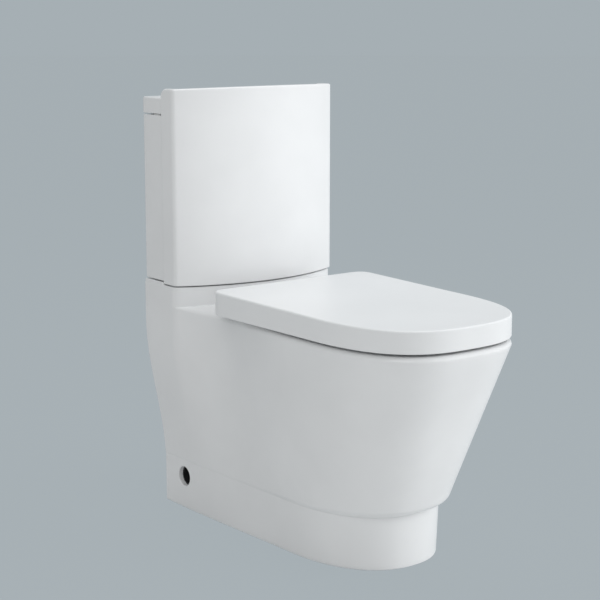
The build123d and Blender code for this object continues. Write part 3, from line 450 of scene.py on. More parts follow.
CURVE_STEPS = 241
FRONT_CORE = 150
EDGE_STEPS = 6
FRONT_COUNT = FRONT_CORE + 2 * EDGE_STEPS
WALL_START = 3.0
WALL_STEPS = 7
CORNER_STEPS = 5
BACK_STEPS = 4
GAP_STEPS = 7


def pan_ring(plan, inset=0.0, rear=0.0):
    """Closed plan outline with softened block edges and rear corners."""
    half = plan[0] - inset
    plan = plan.copy()
    plan[1] -= inset * EDGE_FOLLOW
    edge = plan[1]
    curve = pan_front(plan, inset, CURVE_STEPS)
    ends = [(half, edge), (-half, edge)]
    curve = [p for p in curve if min(math.dist(p, e) for e in ends) > EDGE_SOFT]
    core = resampled(curve, FRONT_CORE)
    first = rounded((half, edge - EDGE_SOFT), (half, edge), core[0], EDGE_STEPS + 1)[:-1]
    bend = rear + REAR_SOFT
    wall = [(half, d) for d in spread(edge - EDGE_SOFT - WALL_START, bend, WALL_STEPS)]
    corner = rounded((half, bend), (half, rear), (half - REAR_SOFT, rear), CORNER_STEPS)
    back = [(x, rear) for x in spread(half - REAR_SOFT, REAR_GAP, BACK_STEPS)]
    gap = [(x, rear) for x in spread(-REAR_GAP, REAR_GAP, GAP_STEPS)[1:-1]]
    run = wall + corner[1:-1] + back
    return first + core + flipped(first[::-1]) + flipped(run) + gap + run[::-1]


GAP_START = FRONT_COUNT + WALL_STEPS + (CORNER_STEPS - 2) + BACK_STEPS - 1
GAP_COLUMNS = range(GAP_START, GAP_START + GAP_STEPS - 1)


def foot_inset(z):
    """Rounded lower edge of the plinth."""
    low = max(FOOT_ROUND - z, 0.0)
    return FOOT_ROUND - math.sqrt(FOOT_ROUND ** 2 - low ** 2)


def lip_row(share):
    """Underside of the lip, as high at each place as the bowl reaches out."""
    row = []
    rings = [pan_ring(plan) for plan in
             (foot_plan(PLINTH_TOP), pan_plan(PLINTH_TOP), pan_plan(LIP_TOP))]
    for foot, low, high in zip(*rings):
        tall = min(max(math.dist(foot, low), LIP_LOW), LIP_HIGH)
        climb = tall / (LIP_TOP - PLINTH_TOP)
        edge = (mix(low[0], high[0], climb), mix(low[1], high[1], climb))
        turn = (mix(foot[0], edge[0], LIP_REACH), mix(foot[1], edge[1], LIP_REACH))
        out = (1 - share) ** 2, 2 * share * (1 - share), share ** 2
        x, d = (sum(w * q[i] for w, q in zip(out, (foot, turn, edge))) for i in (0, 1))
        row.append(place(x, d, PLINTH_TOP + tall * (LIP_SWELL * out[1] + out[2])))
    return row


FOOT_TURNS = [0.0, 0.4, 1.2, FOOT_ROUND]
PLINTH_START = 10.0
LIP_MARGIN = 2.0
foot_levels = FOOT_TURNS + spread(PLINTH_START, PLINTH_TOP, 10)
lip_shares = spread(0.0, 1.0, 9)[1:]
lip_levels = [mix(PLINTH_TOP, LIP_TOP - LIP_MARGIN, share) for share in lip_shares]
bowl_levels = sorted(set(spread(LIP_TOP, RIM - RIM_SOFT, 34) + [REAR_TOP]))
levels = foot_levels + lip_levels + bowl_levels
inner_levels = [z for z in levels if z < DECK_UNDERSIDE] + [DECK_UNDERSIDE]
gap_levels = [z for z in levels if z <= REAR_TOP]
outer_rows = [lifted(pan_ring(foot_plan(z), foot_inset(z)), z) for z in foot_levels]
outer_rows += [lip_row(share) for share in lip_shares]
outer_rows += [lifted(pan_ring(pan_plan(z)), z) for z in bowl_levels]
inner_rows = [lifted(pan_ring(plan_at(z), PAN_WALL, PAN_WALL), z) for z in inner_levels]


def in_gap(i, k):
    """Whether a face lies in the open back of the block."""
    return levels[i] < REAR_TOP and k in GAP_COLUMNS


pan = Skin()
pan.strip(outer_rows, ring=True, skip=in_gap)
pan.strip(inner_rows, ring=True, skip=in_gap)
pan.strip([outer_rows[0], inner_rows[0]], ring=True, skip=lambda i, k: k in GAP_COLUMNS)
jamb = range(len(gap_levels))
for k in (GAP_COLUMNS[0], GAP_COLUMNS[-1] + 1):
    pan.strip([[outer_rows[i][k] for i in jamb], [inner_rows[i][k] for i in jamb]])
lintel = levels.index(REAR_TOP)
gap = slice(GAP_COLUMNS[0], GAP_COLUMNS[-1] + 2)
pan.strip([outer_rows[lintel][gap], inner_rows[lintel][gap]])

# Rolled rim: its rounding dies out towards the block, whose sides run straight
# up into the platform below the cistern. The platform's front is bowed and
# meets the deck in a small cove, cast in the same mould.
BOW = 48.5
BOW_RADIUS = (PAN_HALF ** 2 + BOW ** 2) / (2 * BOW)
PLATFORM_EDGE = 103.0
PLATFORM_ROUND = 3.0
PLATFORM_CORNER = 12.0
PLATFORM_STEPS = (2.0, 10.0)
COVE = 6.0
COVE_SHARE = 0.15
CROWN_SHARE = 0.5
SOFT_START = 230.0
SOFT_RUN = 130.0


def bowed(x, edge):
    """Depth of the bowed front at a lateral place."""
    return edge + BOW - BOW_RADIUS + math.sqrt(BOW_RADIUS ** 2 - x * x)


def clearance(point, line):
    """Distance from a plan point to the nearest point of a line."""
    return min(math.dist(point, other) for other in line)


def eased_to(limit, room):
    """Radius that grows with the room there is, up to a limit."""
    return limit * (1.0 - math.exp(-room / limit))


rim_ring = pan_ring(pan_plan(RIM - RIM_SOFT))
rim_front = rim_ring[:FRONT_COUNT]
rim_rear = rim_ring[FRONT_COUNT:]
turn_in = PAN_HALF - PLATFORM_CORNER
corner = rounded(rim_front[0], (PAN_HALF, PLATFORM_EDGE),
                 (turn_in, bowed(turn_in, PLATFORM_EDGE)), 9)[:-1]
arc = [(x, bowed(x, PLATFORM_EDGE)) for x in spread(turn_in, -turn_in, 81)]
platform_front = corner + arc + flipped(corner[::-1])
platform_ring = platform_front + rim_rear
limits = [mix(RIM_SOFT, RIM_ROUND, soft_step((d - SOFT_START) / SOFT_RUN)) for x, d in rim_front]
crown = [eased_to(limit, CROWN_SHARE * clearance(p, platform_front))
         for limit, p in zip(limits, rim_front)]
cove = [eased_to(COVE, COVE_SHARE * clearance(p, rim_front)) for p in platform_front]
upper = pan_ring(pan_plan(RIM - RIM_ROUND))[:FRONT_COUNT]
climbs = [min((RIM_SOFT - r) / (RIM_SOFT - RIM_ROUND), 1.0) * soft_step(r / RIM_ROUND)
          for r in crown]
rim_edge = [(mix(p[0], q[0], c), mix(p[1], q[1], c)) for p, q, c in zip(rim_front, upper, climbs)]
cove += [0.0] * len(rim_rear)
rows = [outer_rows[-1][:FRONT_COUNT]]
for turn in spread(0.0, math.pi / 2, 7):
    plan = shifted(rim_edge, [r * (1.0 - math.cos(turn)) for r in crown])
    high = [RIM - r + r * math.sin(turn) for r in crown]
    rows.append([place(x, d, z) for (x, d), z in zip(plan, high)])
pan.strip(rows)
rear_band = [rim_front[-1]] + rim_rear + [rim_front[0]]
pan.strip([lifted(rear_band, levels[-1]), lifted(rear_band, RIM)])
rows = []
for turn in spread(0.0, math.pi / 2, 8):
    plan = shifted(platform_ring, [c * (math.sin(turn) - 1.0) for c in cove], ring=True)
    high = [RIM + c * (1.0 - math.cos(turn)) for c in cove]
    rows.append([place(x, d, z) for (x, d), z in zip(plan, high)])
rows += [lifted(platform_ring, RIM + COVE + step) for step in PLATFORM_STEPS]
for inset, drop in quarter(PLATFORM_ROUND, 5):
    rows.append(lifted(inset_ring(platform_ring, inset), PLATFORM - drop))
pan.strip(rows, ring=True)
pan.fill(PLATFORM)

# Mouth of the bowl: a rounded china lip that leads from the deck down into the
# basin, formed in the same mould and glazed with it.
MOUTH_ROUND = 8.0
MOUTH_HALF = 123.0
MOUTH_REAR = 305.0
MOUTH_FRONT = 664.0
SUMP_HEIGHT = 182.0
SUMP_HALF = 42.0
SUMP_REAR = 320.0
SUMP_FRONT = 425.0
SIDE_CURVE = 1.6
FRONT_CURVE = 1.5
MOUTH_STEPS = 120


def bowl_oval(z, grow=0.0):
    """Oval of the bowl at a height."""
    share = max(RIM - z, 0.0) / (RIM - SUMP_HEIGHT)
    half = mix(MOUTH_HALF, SUMP_HALF, share ** SIDE_CURVE) + grow
    front = mix(MOUTH_FRONT, SUMP_FRONT, share ** FRONT_CURVE) + grow
    rear = mix(MOUTH_REAR, SUMP_REAR, share) - grow
    middle = (front + rear) / 2
    return [(half * math.cos(t), middle + (front - rear) / 2 * math.sin(t))
            for t in around(MOUTH_STEPS)]


rows = []
for drop, grow in quarter(MOUTH_ROUND, 7):
    rows.append(lifted(bowl_oval(RIM - drop, grow), RIM - drop))
rows.append(lifted(bowl_oval(DECK_UNDERSIDE), DECK_UNDERSIDE))
pan.strip(rows, ring=True)
pan.fill(RIM)
pan.fill(DECK_UNDERSIDE)
pan_shell = pan.shape("pan_shell")

# Fixing hole low on each side of the block: bored through the clay before the
# firing, its glazed edge slightly eased.
HOLE_RADIUS = 19.0
HOLE_DEPTH = 66.0
HOLE_HEIGHT = 63.0
HOLE_EASE = 1.4
EASE_MIDDLE = (0.4, -0.5)
EASE_PROUD = 0.05
BORE_INSIDE = 30.0
BORE_OUTSIDE = 9.0
HOLE_STEPS = 64


def lathed(profile, spot, axis):
    """Turned shape: radius and travel along an axis from a spot, closed at its ends."""
    turned = Skin()
    along = Vector(axis).normalized()
    side = along.orthogonal().normalized()
    up = along.cross(side)
    rows = []
    for radius, travel in profile:
        foot = Vector(spot) + along * travel * MM
        rows.append([foot + (side * math.cos(t) + up * math.sin(t)) * radius * MM
                     for t in around(HOLE_STEPS)])
    turned.close_ends(turned.strip(rows, ring=True))
    return turned


for side in (-1, 1):
    face = place(side * PLINTH_HALF, HOLE_DEPTH, HOLE_HEIGHT)
    steps = [(HOLE_RADIUS, -BORE_INSIDE), (HOLE_RADIUS, -HOLE_EASE),
             (HOLE_RADIUS + EASE_MIDDLE[0], EASE_MIDDLE[1]),
             (HOLE_RADIUS + HOLE_EASE, EASE_PROUD), (HOLE_RADIUS + HOLE_EASE, BORE_OUTSIDE)]
    combined(pan_shell, lathed(steps, face, (side, 0, 0)).shape("hole_cutter"), "DIFFERENCE")

# Raised seat on the rear of the platform: a slab of the same china, ground flat
# after the firing so that the tank stands on it without rocking.
TANK_SEAT = 446.5
SLAB_INSET = 0.5
SLAB_FRONT = 65.0
SLAB_FOOT = PLATFORM - 12.0
SLAB_CORNER = 3.0
SLAB_ROUND = 1.2


def slab_plan(inset):
    """Plan of the tank's seat with small round corners."""
    side = PAN_HALF - SLAB_INSET - inset
    back = SLAB_INSET + inset
    front = SLAB_FRONT - inset
    inner = side - SLAB_CORNER
    right = rounded((inner, back), (side, back), (side, back + SLAB_CORNER), 5)
    right += rounded((side, front - SLAB_CORNER), (side, front), (inner, front), 5)
    return right + flipped(right[::-1])


slab = Skin()
rows = [lifted(slab_plan(0.0), SLAB_FOOT)]
for inset, drop in quarter(SLAB_ROUND, 5):
    rows.append(lifted(slab_plan(inset), TANK_SEAT - drop))
slab.strip(rows, ring=True)
slab.fill(SLAB_FOOT)
slab.fill(TANK_SEAT)
combined(pan_shell, slab.shape("tank_seat"), "UNION")
finished(pan_shell, "pan", china, "pan_body")

# Basin and trapway behind the glaze: cast with the shell and joined before the
# firing, so they take the same glaze.


def dressed(material, *nodes):
    """Carried-over solids in their finish."""
    for node in nodes:
        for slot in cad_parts[node].material_slots:
            slot.material = material


dressed(china, "pan_bowl", "pan_trapway")

# Floor fixings inside the plinth: zinc plated steel angles and screws, and black
# nylon bushes in the side holes that the screws pull against.


def zinc_plate():
    """Brushed zinc plating with faint passivation clouds."""
    finish = Finish("zinc_plate")
    streak = finish.noise(60.0, 2.0, (1.0, 1.0, 14.0))
    cloud = finish.noise(24.0, 3.0)
    tone = finish.ramp(cloud, (0.50, 0.51, 0.53), (0.66, 0.66, 0.64))
    return finish.surface(
        Base_Color=tone, Metallic=1.0, Roughness=0.24 + streak * 0.2,
        Normal=finish.relief(streak, 0.15, 0.0004))


def moulded(name, low, high, gloss, grain=0.12):
    """Moulded plastic or rubber: flow clouds, fine grain and uneven gloss."""
    finish = Finish(name)
    flow = finish.noise(18.0, 3.0)
    skin = finish.noise(1400.0, 2.0)
    return finish.surface(
        Base_Color=finish.ramp(flow, low, high), Roughness=gloss + flow * 0.12 + skin * 0.06,
        Normal=finish.relief(skin, grain, 0.0004))


zinc = zinc_plate()
black_nylon = moulded("black_nylon", (0.012, 0.012, 0.013), (0.022, 0.022, 0.023), 0.4)
dressed(zinc, "floor_brackets", "bracket_screws", "side_fixing_screws")
dressed(black_nylon, "fixing_bushes")

# Cistern: tank and bowed front shield cast in one piece of china. The shield
# stands up past the cover, its wings reach back along the sides of the tank.
SHIELD_BOTTOM = 444.5
SHIELD_TOP = 806.0
SHIELD_CROWN = 3.0
SHIELD_EDGE = 106.0
SHIELD_WALL = 14.0
WING_REAR = 66.5
WING_ROUND = 15.0
WING_EDGE = 4.0
FRONT_ROUND = 3.5
INNER_ROUND = 2.0
SHIELD_SOFT = 6.0
SHIELD_MARGIN = 10.0
INNER_SOFT = 3.0
WING_START = 0.6
WING_DROP = 0.9
TANK_BOTTOM = 448.5
TANK_TOP = 756.6
TANK_FLOOR = 462.5
TANK_HALF = 181.0
TANK_WALL = 12.0
INNER_HALF = PAN_HALF - SHIELD_WALL
INNER_EDGE = SHIELD_EDGE - SHIELD_WALL


def shield_path(half, edge, soft):
    """Plan line of a shield face from the right wing to the left one."""
    bend = WING_REAR + WING_ROUND
    wing = [(half, WING_REAR + ahead) for ahead, inset in quarter(INNER_ROUND, 4)]
    wing += [(half, bend - WING_ROUND * math.cos(t)) for t in spread(WING_START, math.pi / 2, 8)]
    wing += [(half, d) for d in spread(bend, edge - soft, 5)[1:-1]]
    stop = half - soft
    turn = rounded((half, edge - soft), (half, edge), (stop, bowed(stop, edge)), 8)
    arc = [(x, bowed(x, edge)) for x in spread(stop, -stop, 97)[1:-1]]
    return wing + turn + arc + flipped(turn[::-1]) + flipped(wing[::-1])


def shield_top(x, depth):
    """Height of the shield's upper edge in front view and side view."""
    crown = SHIELD_CROWN * (1.0 - (x / PAN_HALF) ** 2)
    fall = max(WING_REAR + WING_ROUND - depth, 0.0)
    drop = WING_ROUND - math.sqrt(max(WING_ROUND ** 2 - fall ** 2, 0.0))
    return SHIELD_TOP + crown - WING_DROP * drop


outer = shield_path(PAN_HALF, SHIELD_EDGE, SHIELD_SOFT)
inner = shield_path(INNER_HALF, INNER_EDGE, INNER_SOFT)
columns = []
for (x, d), (xi, di) in zip(outer, inner):
    top = shield_top(x, d)
    face = np.array((x, d))
    back = np.array((xi, di))
    across = (back - face) / np.linalg.norm(back - face)
    end = max(WING_REAR + INNER_ROUND - d, 0.0)
    pinch = INNER_ROUND - math.sqrt(max(INNER_ROUND ** 2 - end ** 2, 0.0))
    face = face + across * pinch
    back = back - across * pinch
    wing = soft_step((abs(x) - PAN_HALF + SHIELD_SOFT) / SHIELD_SOFT)
    round_out = mix(FRONT_ROUND, WING_EDGE - pinch, wing)
    line = []
    for rise, inset in quarter(INNER_ROUND, 4):
        line.append((face + across * inset, SHIELD_BOTTOM + rise))
    for z in spread(SHIELD_BOTTOM + SHIELD_MARGIN, top - round_out - SHIELD_MARGIN, 8):
        line.append((face, z))
    for inset, drop in quarter(round_out, 9):
        line.append((face + across * inset, top - drop))
    for drop, inset in quarter(INNER_ROUND, 5):
        line.append((back - across * inset, top - drop))
    line += [(back, TANK_TOP), (back, SHIELD_BOTTOM)]
    columns.append([place(p[0], p[1], z) for p, z in line])

cistern = Skin()
made = cistern.strip(columns)
for low, high in zip(made[:-1], made[1:]):
    cistern.mesh.faces.new((low[-1], low[0], high[0], high[-1]))
cistern.close_ends(made)
cistern.merge()


def tank_ring(half, rear, edge, soft, inset):
    """Plan of the tank with rounded rear corners and a bowed front."""
    half -= inset
    rear += inset
    edge -= inset
    corner = rounded((half - soft, rear), (half, rear), (half, rear + soft), 7)
    arc = [(x, bowed(x, edge)) for x in spread(half, -half, 61)]
    back = [(x, rear) for x in spread(-half + soft, half - soft, 25)[1:-1]]
    return corner + arc + flipped(corner[::-1]) + back


TANK_EDGE = 99.0
TANK_SOFT = 7.0
TANK_FOOT = 3.0
TANK_LIP = 0.8
TANK_MARGIN = 10.0
WELL_EDGE = INNER_EDGE - 0.4
WELL_SOFT = 5.0
WELL_LIP = 2.0


def tank_outside(inset, z):
    return lifted(tank_ring(TANK_HALF, 0.0, TANK_EDGE, TANK_SOFT, inset), z)


def tank_inside(grow, z):
    return lifted(tank_ring(INNER_HALF, TANK_WALL, WELL_EDGE, WELL_SOFT, -grow), z)


tank = Skin()
walls = spread(TANK_BOTTOM + TANK_MARGIN, TANK_TOP - TANK_MARGIN, 8)
rows = [tank_outside(inset, TANK_BOTTOM + rise) for rise, inset in quarter(TANK_FOOT, 5)]
rows += [tank_outside(0.0, z) for z in walls]
rows += [tank_outside(inset, TANK_TOP - drop) for inset, drop in quarter(TANK_LIP, 5)]
rows += [tank_inside(grow, TANK_TOP - drop) for drop, grow in quarter(WELL_LIP, 4)]
rows.append(tank_inside(0.0, TANK_FLOOR))
tank.strip(rows, ring=True)
tank.fill(TANK_BOTTOM)
tank.fill(TANK_FLOOR)
finished(tank.shape("cistern_tank_shell"), "pan", china, "cistern_tank")
finished(cistern.shape("cistern_shield"), "pan", china, "cistern_tank")

# Bolts and gasket that join the cistern to the pan: zinc plated bolts on rubber
# washers, black nuts below the platform, and a foam ring around the flush inlet.
black_rubber = moulded("black_rubber", (0.018, 0.018, 0.018), (0.035, 0.034, 0.033), 0.55, 0.25)


def gasket_foam():
    """Black closed cell foam."""
    finish = Finish("gasket_foam")
    here = finish.node("ShaderNodeTexCoord", out=3)
    cell = finish.node("ShaderNodeTexVoronoi", None, {"Vector": here, "Scale": 700.0})
    tone = finish.ramp(cell, (0.012, 0.012, 0.013), (0.05, 0.05, 0.052), 0.1, 0.8)
    return finish.surface(Base_Color=tone, Roughness=0.82 + cell * 0.1,
                          Normal=finish.relief(cell, 0.6, 0.0008))


dressed(black_rubber, "bolt_washers")
dressed(zinc, "tank_bolts")
dressed(black_nylon, "bolt_nuts")
dressed(gasket_foam(), "doughnut_gasket")

# Flush valve and fill valve in the tank: white and grey moulded plastics, a red
# silicone seal and a blue float cup.
white_poly = moulded("white_polypropylene", (0.70, 0.70, 0.67), (0.78, 0.78, 0.75), 0.3)
grey_acetal = moulded("grey_acetal", (0.20, 0.205, 0.215), (0.26, 0.265, 0.275), 0.3)
dressed(white_poly, "valve_base", "valve_tower", "valve_bridge", "overflow_tube",
        "fill_column", "fill_head")
dressed(black_nylon, "valve_backnut", "inlet_backnut", "bezel_nut")
dressed(black_rubber, "valve_washer", "inlet_washer")
dressed(moulded("red_silicone", (0.42, 0.05, 0.035), (0.50, 0.07, 0.05), 0.4), "valve_seal")
dressed(moulded("blue_polypropylene", (0.05, 0.12, 0.33), (0.07, 0.16, 0.40), 0.32), "fill_float")
dressed(grey_acetal, "float_arm", "full_push_rod", "half_push_rod")
dressed(zinc, "arm_pin")

# Cistern cover: a loose slab of china that lies on the tank behind the shield,
# wide behind the wings and bowed between them, with one hole for the buttons.
COVER_LOW = 759.4
COVER_TOP = 789.0
COVER_ROUND = 3.0
COVER_WIDE = 181.0
COVER_GAP = 2.0
COVER_REAR_END = WING_REAR - COVER_GAP
COVER_HALF = INNER_HALF - COVER_GAP
COVER_EDGE = INNER_EDGE - COVER_GAP
COVER_CORNER = 6.0
COVER_TURN = 3.0
COVER_NOTCH = 2.0
COVER_EASE = 0.8
COVER_MIDWAY = 0.24
BUTTON_DEPTH = 80.0
COVER_BORE = 24.5


def cover_ring(inset=0.0):
    """Plan of the cover, wide at the rear and bowed at the front."""
    wide = COVER_WIDE - inset
    half = COVER_HALF - inset
    edge = COVER_EDGE - inset
    step = COVER_REAR_END - inset
    bend = wide - COVER_CORNER
    right = [(x, inset) for x in spread(0.0, bend, 20)]
    right += rounded((bend, inset), (wide, inset), (wide, inset + COVER_CORNER), 7)[1:]
    right += rounded((wide, step - COVER_TURN), (wide, step), (wide - COVER_TURN, step), 5)
    right += rounded((half + COVER_NOTCH, step), (half, step), (half, step + COVER_NOTCH), 4)
    right += [(half, edge - COVER_TURN)]
    right += [(x, bowed(x, edge)) for x in spread(half - COVER_TURN, 0.0, 40)]
    return right + flipped(right[-2:0:-1])


cover = Skin()
walls = spread(COVER_LOW + COVER_EASE, COVER_TOP - COVER_ROUND, 5)
rows = [lifted(cover_ring(COVER_EASE), COVER_LOW)]
rows.append(lifted(cover_ring(COVER_MIDWAY), COVER_LOW + COVER_MIDWAY))
rows += [lifted(cover_ring(), z) for z in walls]
rows += [lifted(cover_ring(inset), COVER_TOP - drop) for inset, drop in quarter(COVER_ROUND, 8)[1:]]
cover.strip(rows, ring=True)


def circle(radius, depth, count):
    return [(radius * math.cos(t), depth + radius * math.sin(t)) for t in around(count)]


bore = circle(COVER_BORE, BUTTON_DEPTH, 72)
cover.strip([lifted(bore, COVER_LOW), lifted(bore, COVER_TOP)], ring=True)
cover.fill(COVER_LOW)
cover.fill(COVER_TOP)
finished(cover.shape("cistern_cover"), "cover", china, "cistern_lid")
milky = moulded("milky_soft_plastic", (0.60, 0.61, 0.60), (0.68, 0.69, 0.68), 0.38)
dressed(milky, "lid_pads")

# Flush buttons: a chrome plated ring and two halves that press down in it, the
# larger one for the full flush.


def chrome_plate():
    """Polished plating with hair fine wipe marks."""
    finish = Finish("chrome_plate")
    wipe = finish.noise(140.0, 2.0, (1.0, 6.0, 1.0))
    haze = finish.noise(30.0, 3.0)
    tone = finish.ramp(haze, (0.66, 0.67, 0.69), (0.74, 0.75, 0.77))
    return finish.surface(Base_Color=tone, Metallic=1.0, Roughness=0.05 + haze * 0.06 + wipe * 0.04,
                          Normal=finish.relief(wipe, 0.04, 0.0002))


chrome = chrome_plate()
BEZEL_RADIUS = 36.0
BEZEL_FOOT = BEZEL_RADIUS - 0.6
BEZEL_ROUND = 3.0
BEZEL_TOP = COVER_TOP + 3.5
SLEEVE_RADIUS = 23.8
SLEEVE_BORE = 21.5
SLEEVE_EASE = 1.2
SLEEVE_END = COVER_LOW - 21.0
profile = [(SLEEVE_RADIUS, SLEEVE_END), (SLEEVE_RADIUS, COVER_TOP), (BEZEL_FOOT, COVER_TOP)]
profile += [(BEZEL_RADIUS - inset, BEZEL_TOP - drop) for inset, drop in quarter(BEZEL_ROUND, 7)]
profile += [(SLEEVE_BORE + grow, BEZEL_TOP - drop) for drop, grow in quarter(SLEEVE_EASE, 5)]
profile.append((SLEEVE_BORE, SLEEVE_END))
rows = [lifted(circle(radius, BUTTON_DEPTH, 96), z) for radius, z in profile]
bezel = Skin()
bezel.strip(rows + rows[:1], ring=True)
finished(bezel.shape("button_ring"), "cover", chrome, "button_bezel")

BUTTON_RADIUS = 21.0
BUTTON_TOP = BEZEL_TOP + 1.0
BUTTON_LOW = BUTTON_TOP - 14.0
BUTTON_ROUND = 1.2
SPLIT_X = -5.5
SPLIT_HALF = 0.6


def button_ring(cut, side, inset):
    """D shaped outline of one button half with eased corners."""
    radius = BUTTON_RADIUS - inset
    edge = cut + side * inset
    limit = math.acos(edge / radius * side)
    turns = spread(-limit, limit, 49)
    arc = [(side * radius * math.cos(t), BUTTON_DEPTH + side * radius * math.sin(t)) for t in turns]
    chord = [(edge, d) for d in spread(arc[-1][1], arc[0][1], 17)[1:-1]]
    return arc + chord


for node, body, side in (("full_flush_button", "full_button", 1),
                         ("half_flush_button", "half_button", -1)):
    cut = SPLIT_X + side * SPLIT_HALF
    button = Skin()
    rows = [lifted(button_ring(cut, side, 0.0), z) for z in (BUTTON_LOW, BUTTON_TOP - BUTTON_ROUND)]
    for inset, drop in quarter(BUTTON_ROUND, 6)[1:]:
        rows.append(lifted(button_ring(cut, side, inset), BUTTON_TOP - drop))
    button.strip(rows, ring=True)
    button.fill(BUTTON_LOW)
    button.fill(BUTTON_TOP)
    finished(button.shape(node + "_cap"), body, chrome, node)

# Seat: a moulded ring of white thermoset that lies on the rim on four buffers,
# with a lug at each hinge.


def seat_resin():
    """Hard white moulding with a polished, faintly rippled skin."""
    finish = Finish("seat_resin")
    flow = finish.noise(5.0, 3.0)
    ripple = finish.noise(28.0, 1.0)
    peel = finish.noise(650.0, 1.0)
    tone = finish.ramp(flow, (0.80, 0.81, 0.815), (0.83, 0.84, 0.845))
    return finish.surface(
        Base_Color=tone, Roughness=0.34 + flow * 0.06 + peel * 0.03, IOR=1.5,
        Normal=finish.relief(ripple * 0.5 + peel * 0.03, 0.06, 0.001))


resin = seat_resin()
LID_REAR = 213.0
LID_HALF = 178.0
LID_WIDE = 172.9
LID_WIDE_DEPTH = 471.0
LID_POWER = 2.8
LID_CORNER = 30.0
SEAT_LOW = 411.0
SEAT_TOP = 431.0
SEAT_REAR = 256.0
SEAT_INSET = 8.0
SEAT_OPEN_HALF = 108.0
SEAT_MIDDLE = 489.0
SEAT_OPEN_LENGTH = 159.0
SEAT_DISH = 5.0
SEAT_SOFT = 5.0
HINGE_DEPTH = 233.0
AXIS_HEIGHT = 428.0


def lid_ring(rear, soft):
    """Plan of lid or seat: straight rear, leaning sides and a blunt nose."""
    lean = (LID_WIDE - LID_HALF) / (LID_WIDE_DEPTH - LID_REAR)
    half = LID_HALF + lean * (rear - LID_REAR)
    turn = rounded((half - soft, rear), (half, rear), (half + lean * soft, rear + soft), 10)
    sides = [(half + lean * (d - rear), d) for d in spread(rear + soft, LID_WIDE_DEPTH, 22)[1:-1]]
    tip = resampled(nose(LID_WIDE, LID_WIDE_DEPTH, DEPTH, LID_POWER, 240), 70)
    back = [(x, rear) for x in spread(0.0, half - soft, 30)[:-1]]
    right = back + turn + sides + tip
    return right + flipped(right[-2:0:-1])


def open_oval(point, grow=0.0):
    """Place on the edge of the seat opening that faces an outer point."""
    x, d = point
    t = math.atan2((d - SEAT_MIDDLE) / SEAT_OPEN_LENGTH, x / SEAT_OPEN_HALF)
    return ((SEAT_OPEN_HALF + grow) * math.cos(t),
            SEAT_MIDDLE + (SEAT_OPEN_LENGTH + grow) * math.sin(t))


SEAT_CORNER = 20.0
SEAT_EASE = 1.0
SEAT_LIP = 5.0
seat_line = inset_ring(lid_ring(SEAT_REAR - SEAT_INSET, SEAT_CORNER), SEAT_INSET)
rows = [lifted(inset_ring(seat_line, SEAT_EASE), SEAT_LOW),
        lifted(seat_line, SEAT_LOW + SEAT_EASE)]
for inset, drop in quarter(SEAT_SOFT, 7):
    rows.append(lifted(inset_ring(seat_line, inset), SEAT_TOP - drop))
shoulder = inset_ring(seat_line, SEAT_SOFT)
mouth_edge = [open_oval(p, SEAT_LIP) for p in seat_line]
for share in spread(0.0, 1.0, 9)[1:]:
    ring = [(mix(a[0], b[0], share), mix(a[1], b[1], share))
            for a, b in zip(shoulder, mouth_edge)]
    rows.append(lifted(ring, SEAT_TOP - SEAT_DISH * soft_step(share)))
for drop, grow in quarter(SEAT_LIP, 6)[1:]:
    ring = [open_oval(p, grow) for p in seat_line]
    rows.append(lifted(ring, SEAT_TOP - SEAT_DISH - drop))
rows.append(lifted([open_oval(p) for p in seat_line], SEAT_LOW + SEAT_EASE))
rows.append(lifted([open_oval(p, SEAT_EASE) for p in seat_line], SEAT_LOW))
seat = Skin()
seat.strip(rows + rows[:1], ring=True)


LUG_RADIUS = 10.0
LUG_EASE = 0.7
LUG_TAPER = 0.94


def add_lugs(skin, near, far, outline):
    """Hinge lug on both sides: a side view drawn out between two lateral places."""
    middle = np.mean(outline, axis=0)
    for low, high in ((near, far), (-far, -near)):
        rows = []
        for x, shrink in ((low, LUG_TAPER), (low + LUG_EASE, 1.0),
                          (high - LUG_EASE, 1.0), (high, LUG_TAPER)):
            side = [middle + (np.array(p) - middle) * shrink for p in outline]
            rows.append([place(x, d, z) for d, z in side])
        skin.close_ends(skin.strip(rows, ring=True))


def knuckle(start, stop):
    """Part of the round end of a lug, in degrees as seen from the side."""
    turns = [math.radians(a) for a in spread(start, stop, 17)]
    return [(HINGE_DEPTH + LUG_RADIUS * math.cos(t), AXIS_HEIGHT + LUG_RADIUS * math.sin(t))
            for t in turns]


SEAT_LUG_NEAR = 92.0
SEAT_LUG_FAR = 108.3
SEAT_LUG_LOW = 414.5
SEAT_LUG_TOP = 426.5
lug_root = SEAT_REAR + 18.0
seat_lug = knuckle(80.0, 280.0) + [
    (SEAT_REAR, SEAT_LUG_LOW), (lug_root, SEAT_LUG_LOW), (lug_root, SEAT_LUG_TOP)]
add_lugs(seat, SEAT_LUG_NEAR, SEAT_LUG_FAR, seat_lug)
finished(seat.shape("seat_moulding"), "seat", resin, "seat_ring")

# Lid of the seat: a plate moulded in the same resin, which falls a little to the
# front. Its skirt wraps over the seat ring and is open at the rear, where its two
# lugs turn on the hinge pins.
LID_LOW = 410.0
LID_TOP = 452.5
LID_FALL = 4.5
LID_PLATE = 447.0
PLATE_FALL = 4.0
LID_SKIRT = 5.0
LID_EASE = 1.2
LID_ROUND = 3.5
LID_COVE = 2.0
LID_LUG_NEAR = 56.0
LID_LUG_FAR = 72.0
SKIRT_SHARES = (0.33, 0.66)
OPEN_HALF = 168.0
OPEN_DEPTH = 230.0
lid_line = lid_ring(LID_REAR, LID_CORNER)
opened = [abs(x) < OPEN_HALF and d < OPEN_DEPTH for x, d in lid_line]


def lid_row(inset, heights):
    """Outline of the lid moved inwards, each corner at its own height."""
    return [place(x, d, z) for (x, d), z in zip(inset_ring(lid_line, inset), heights)]


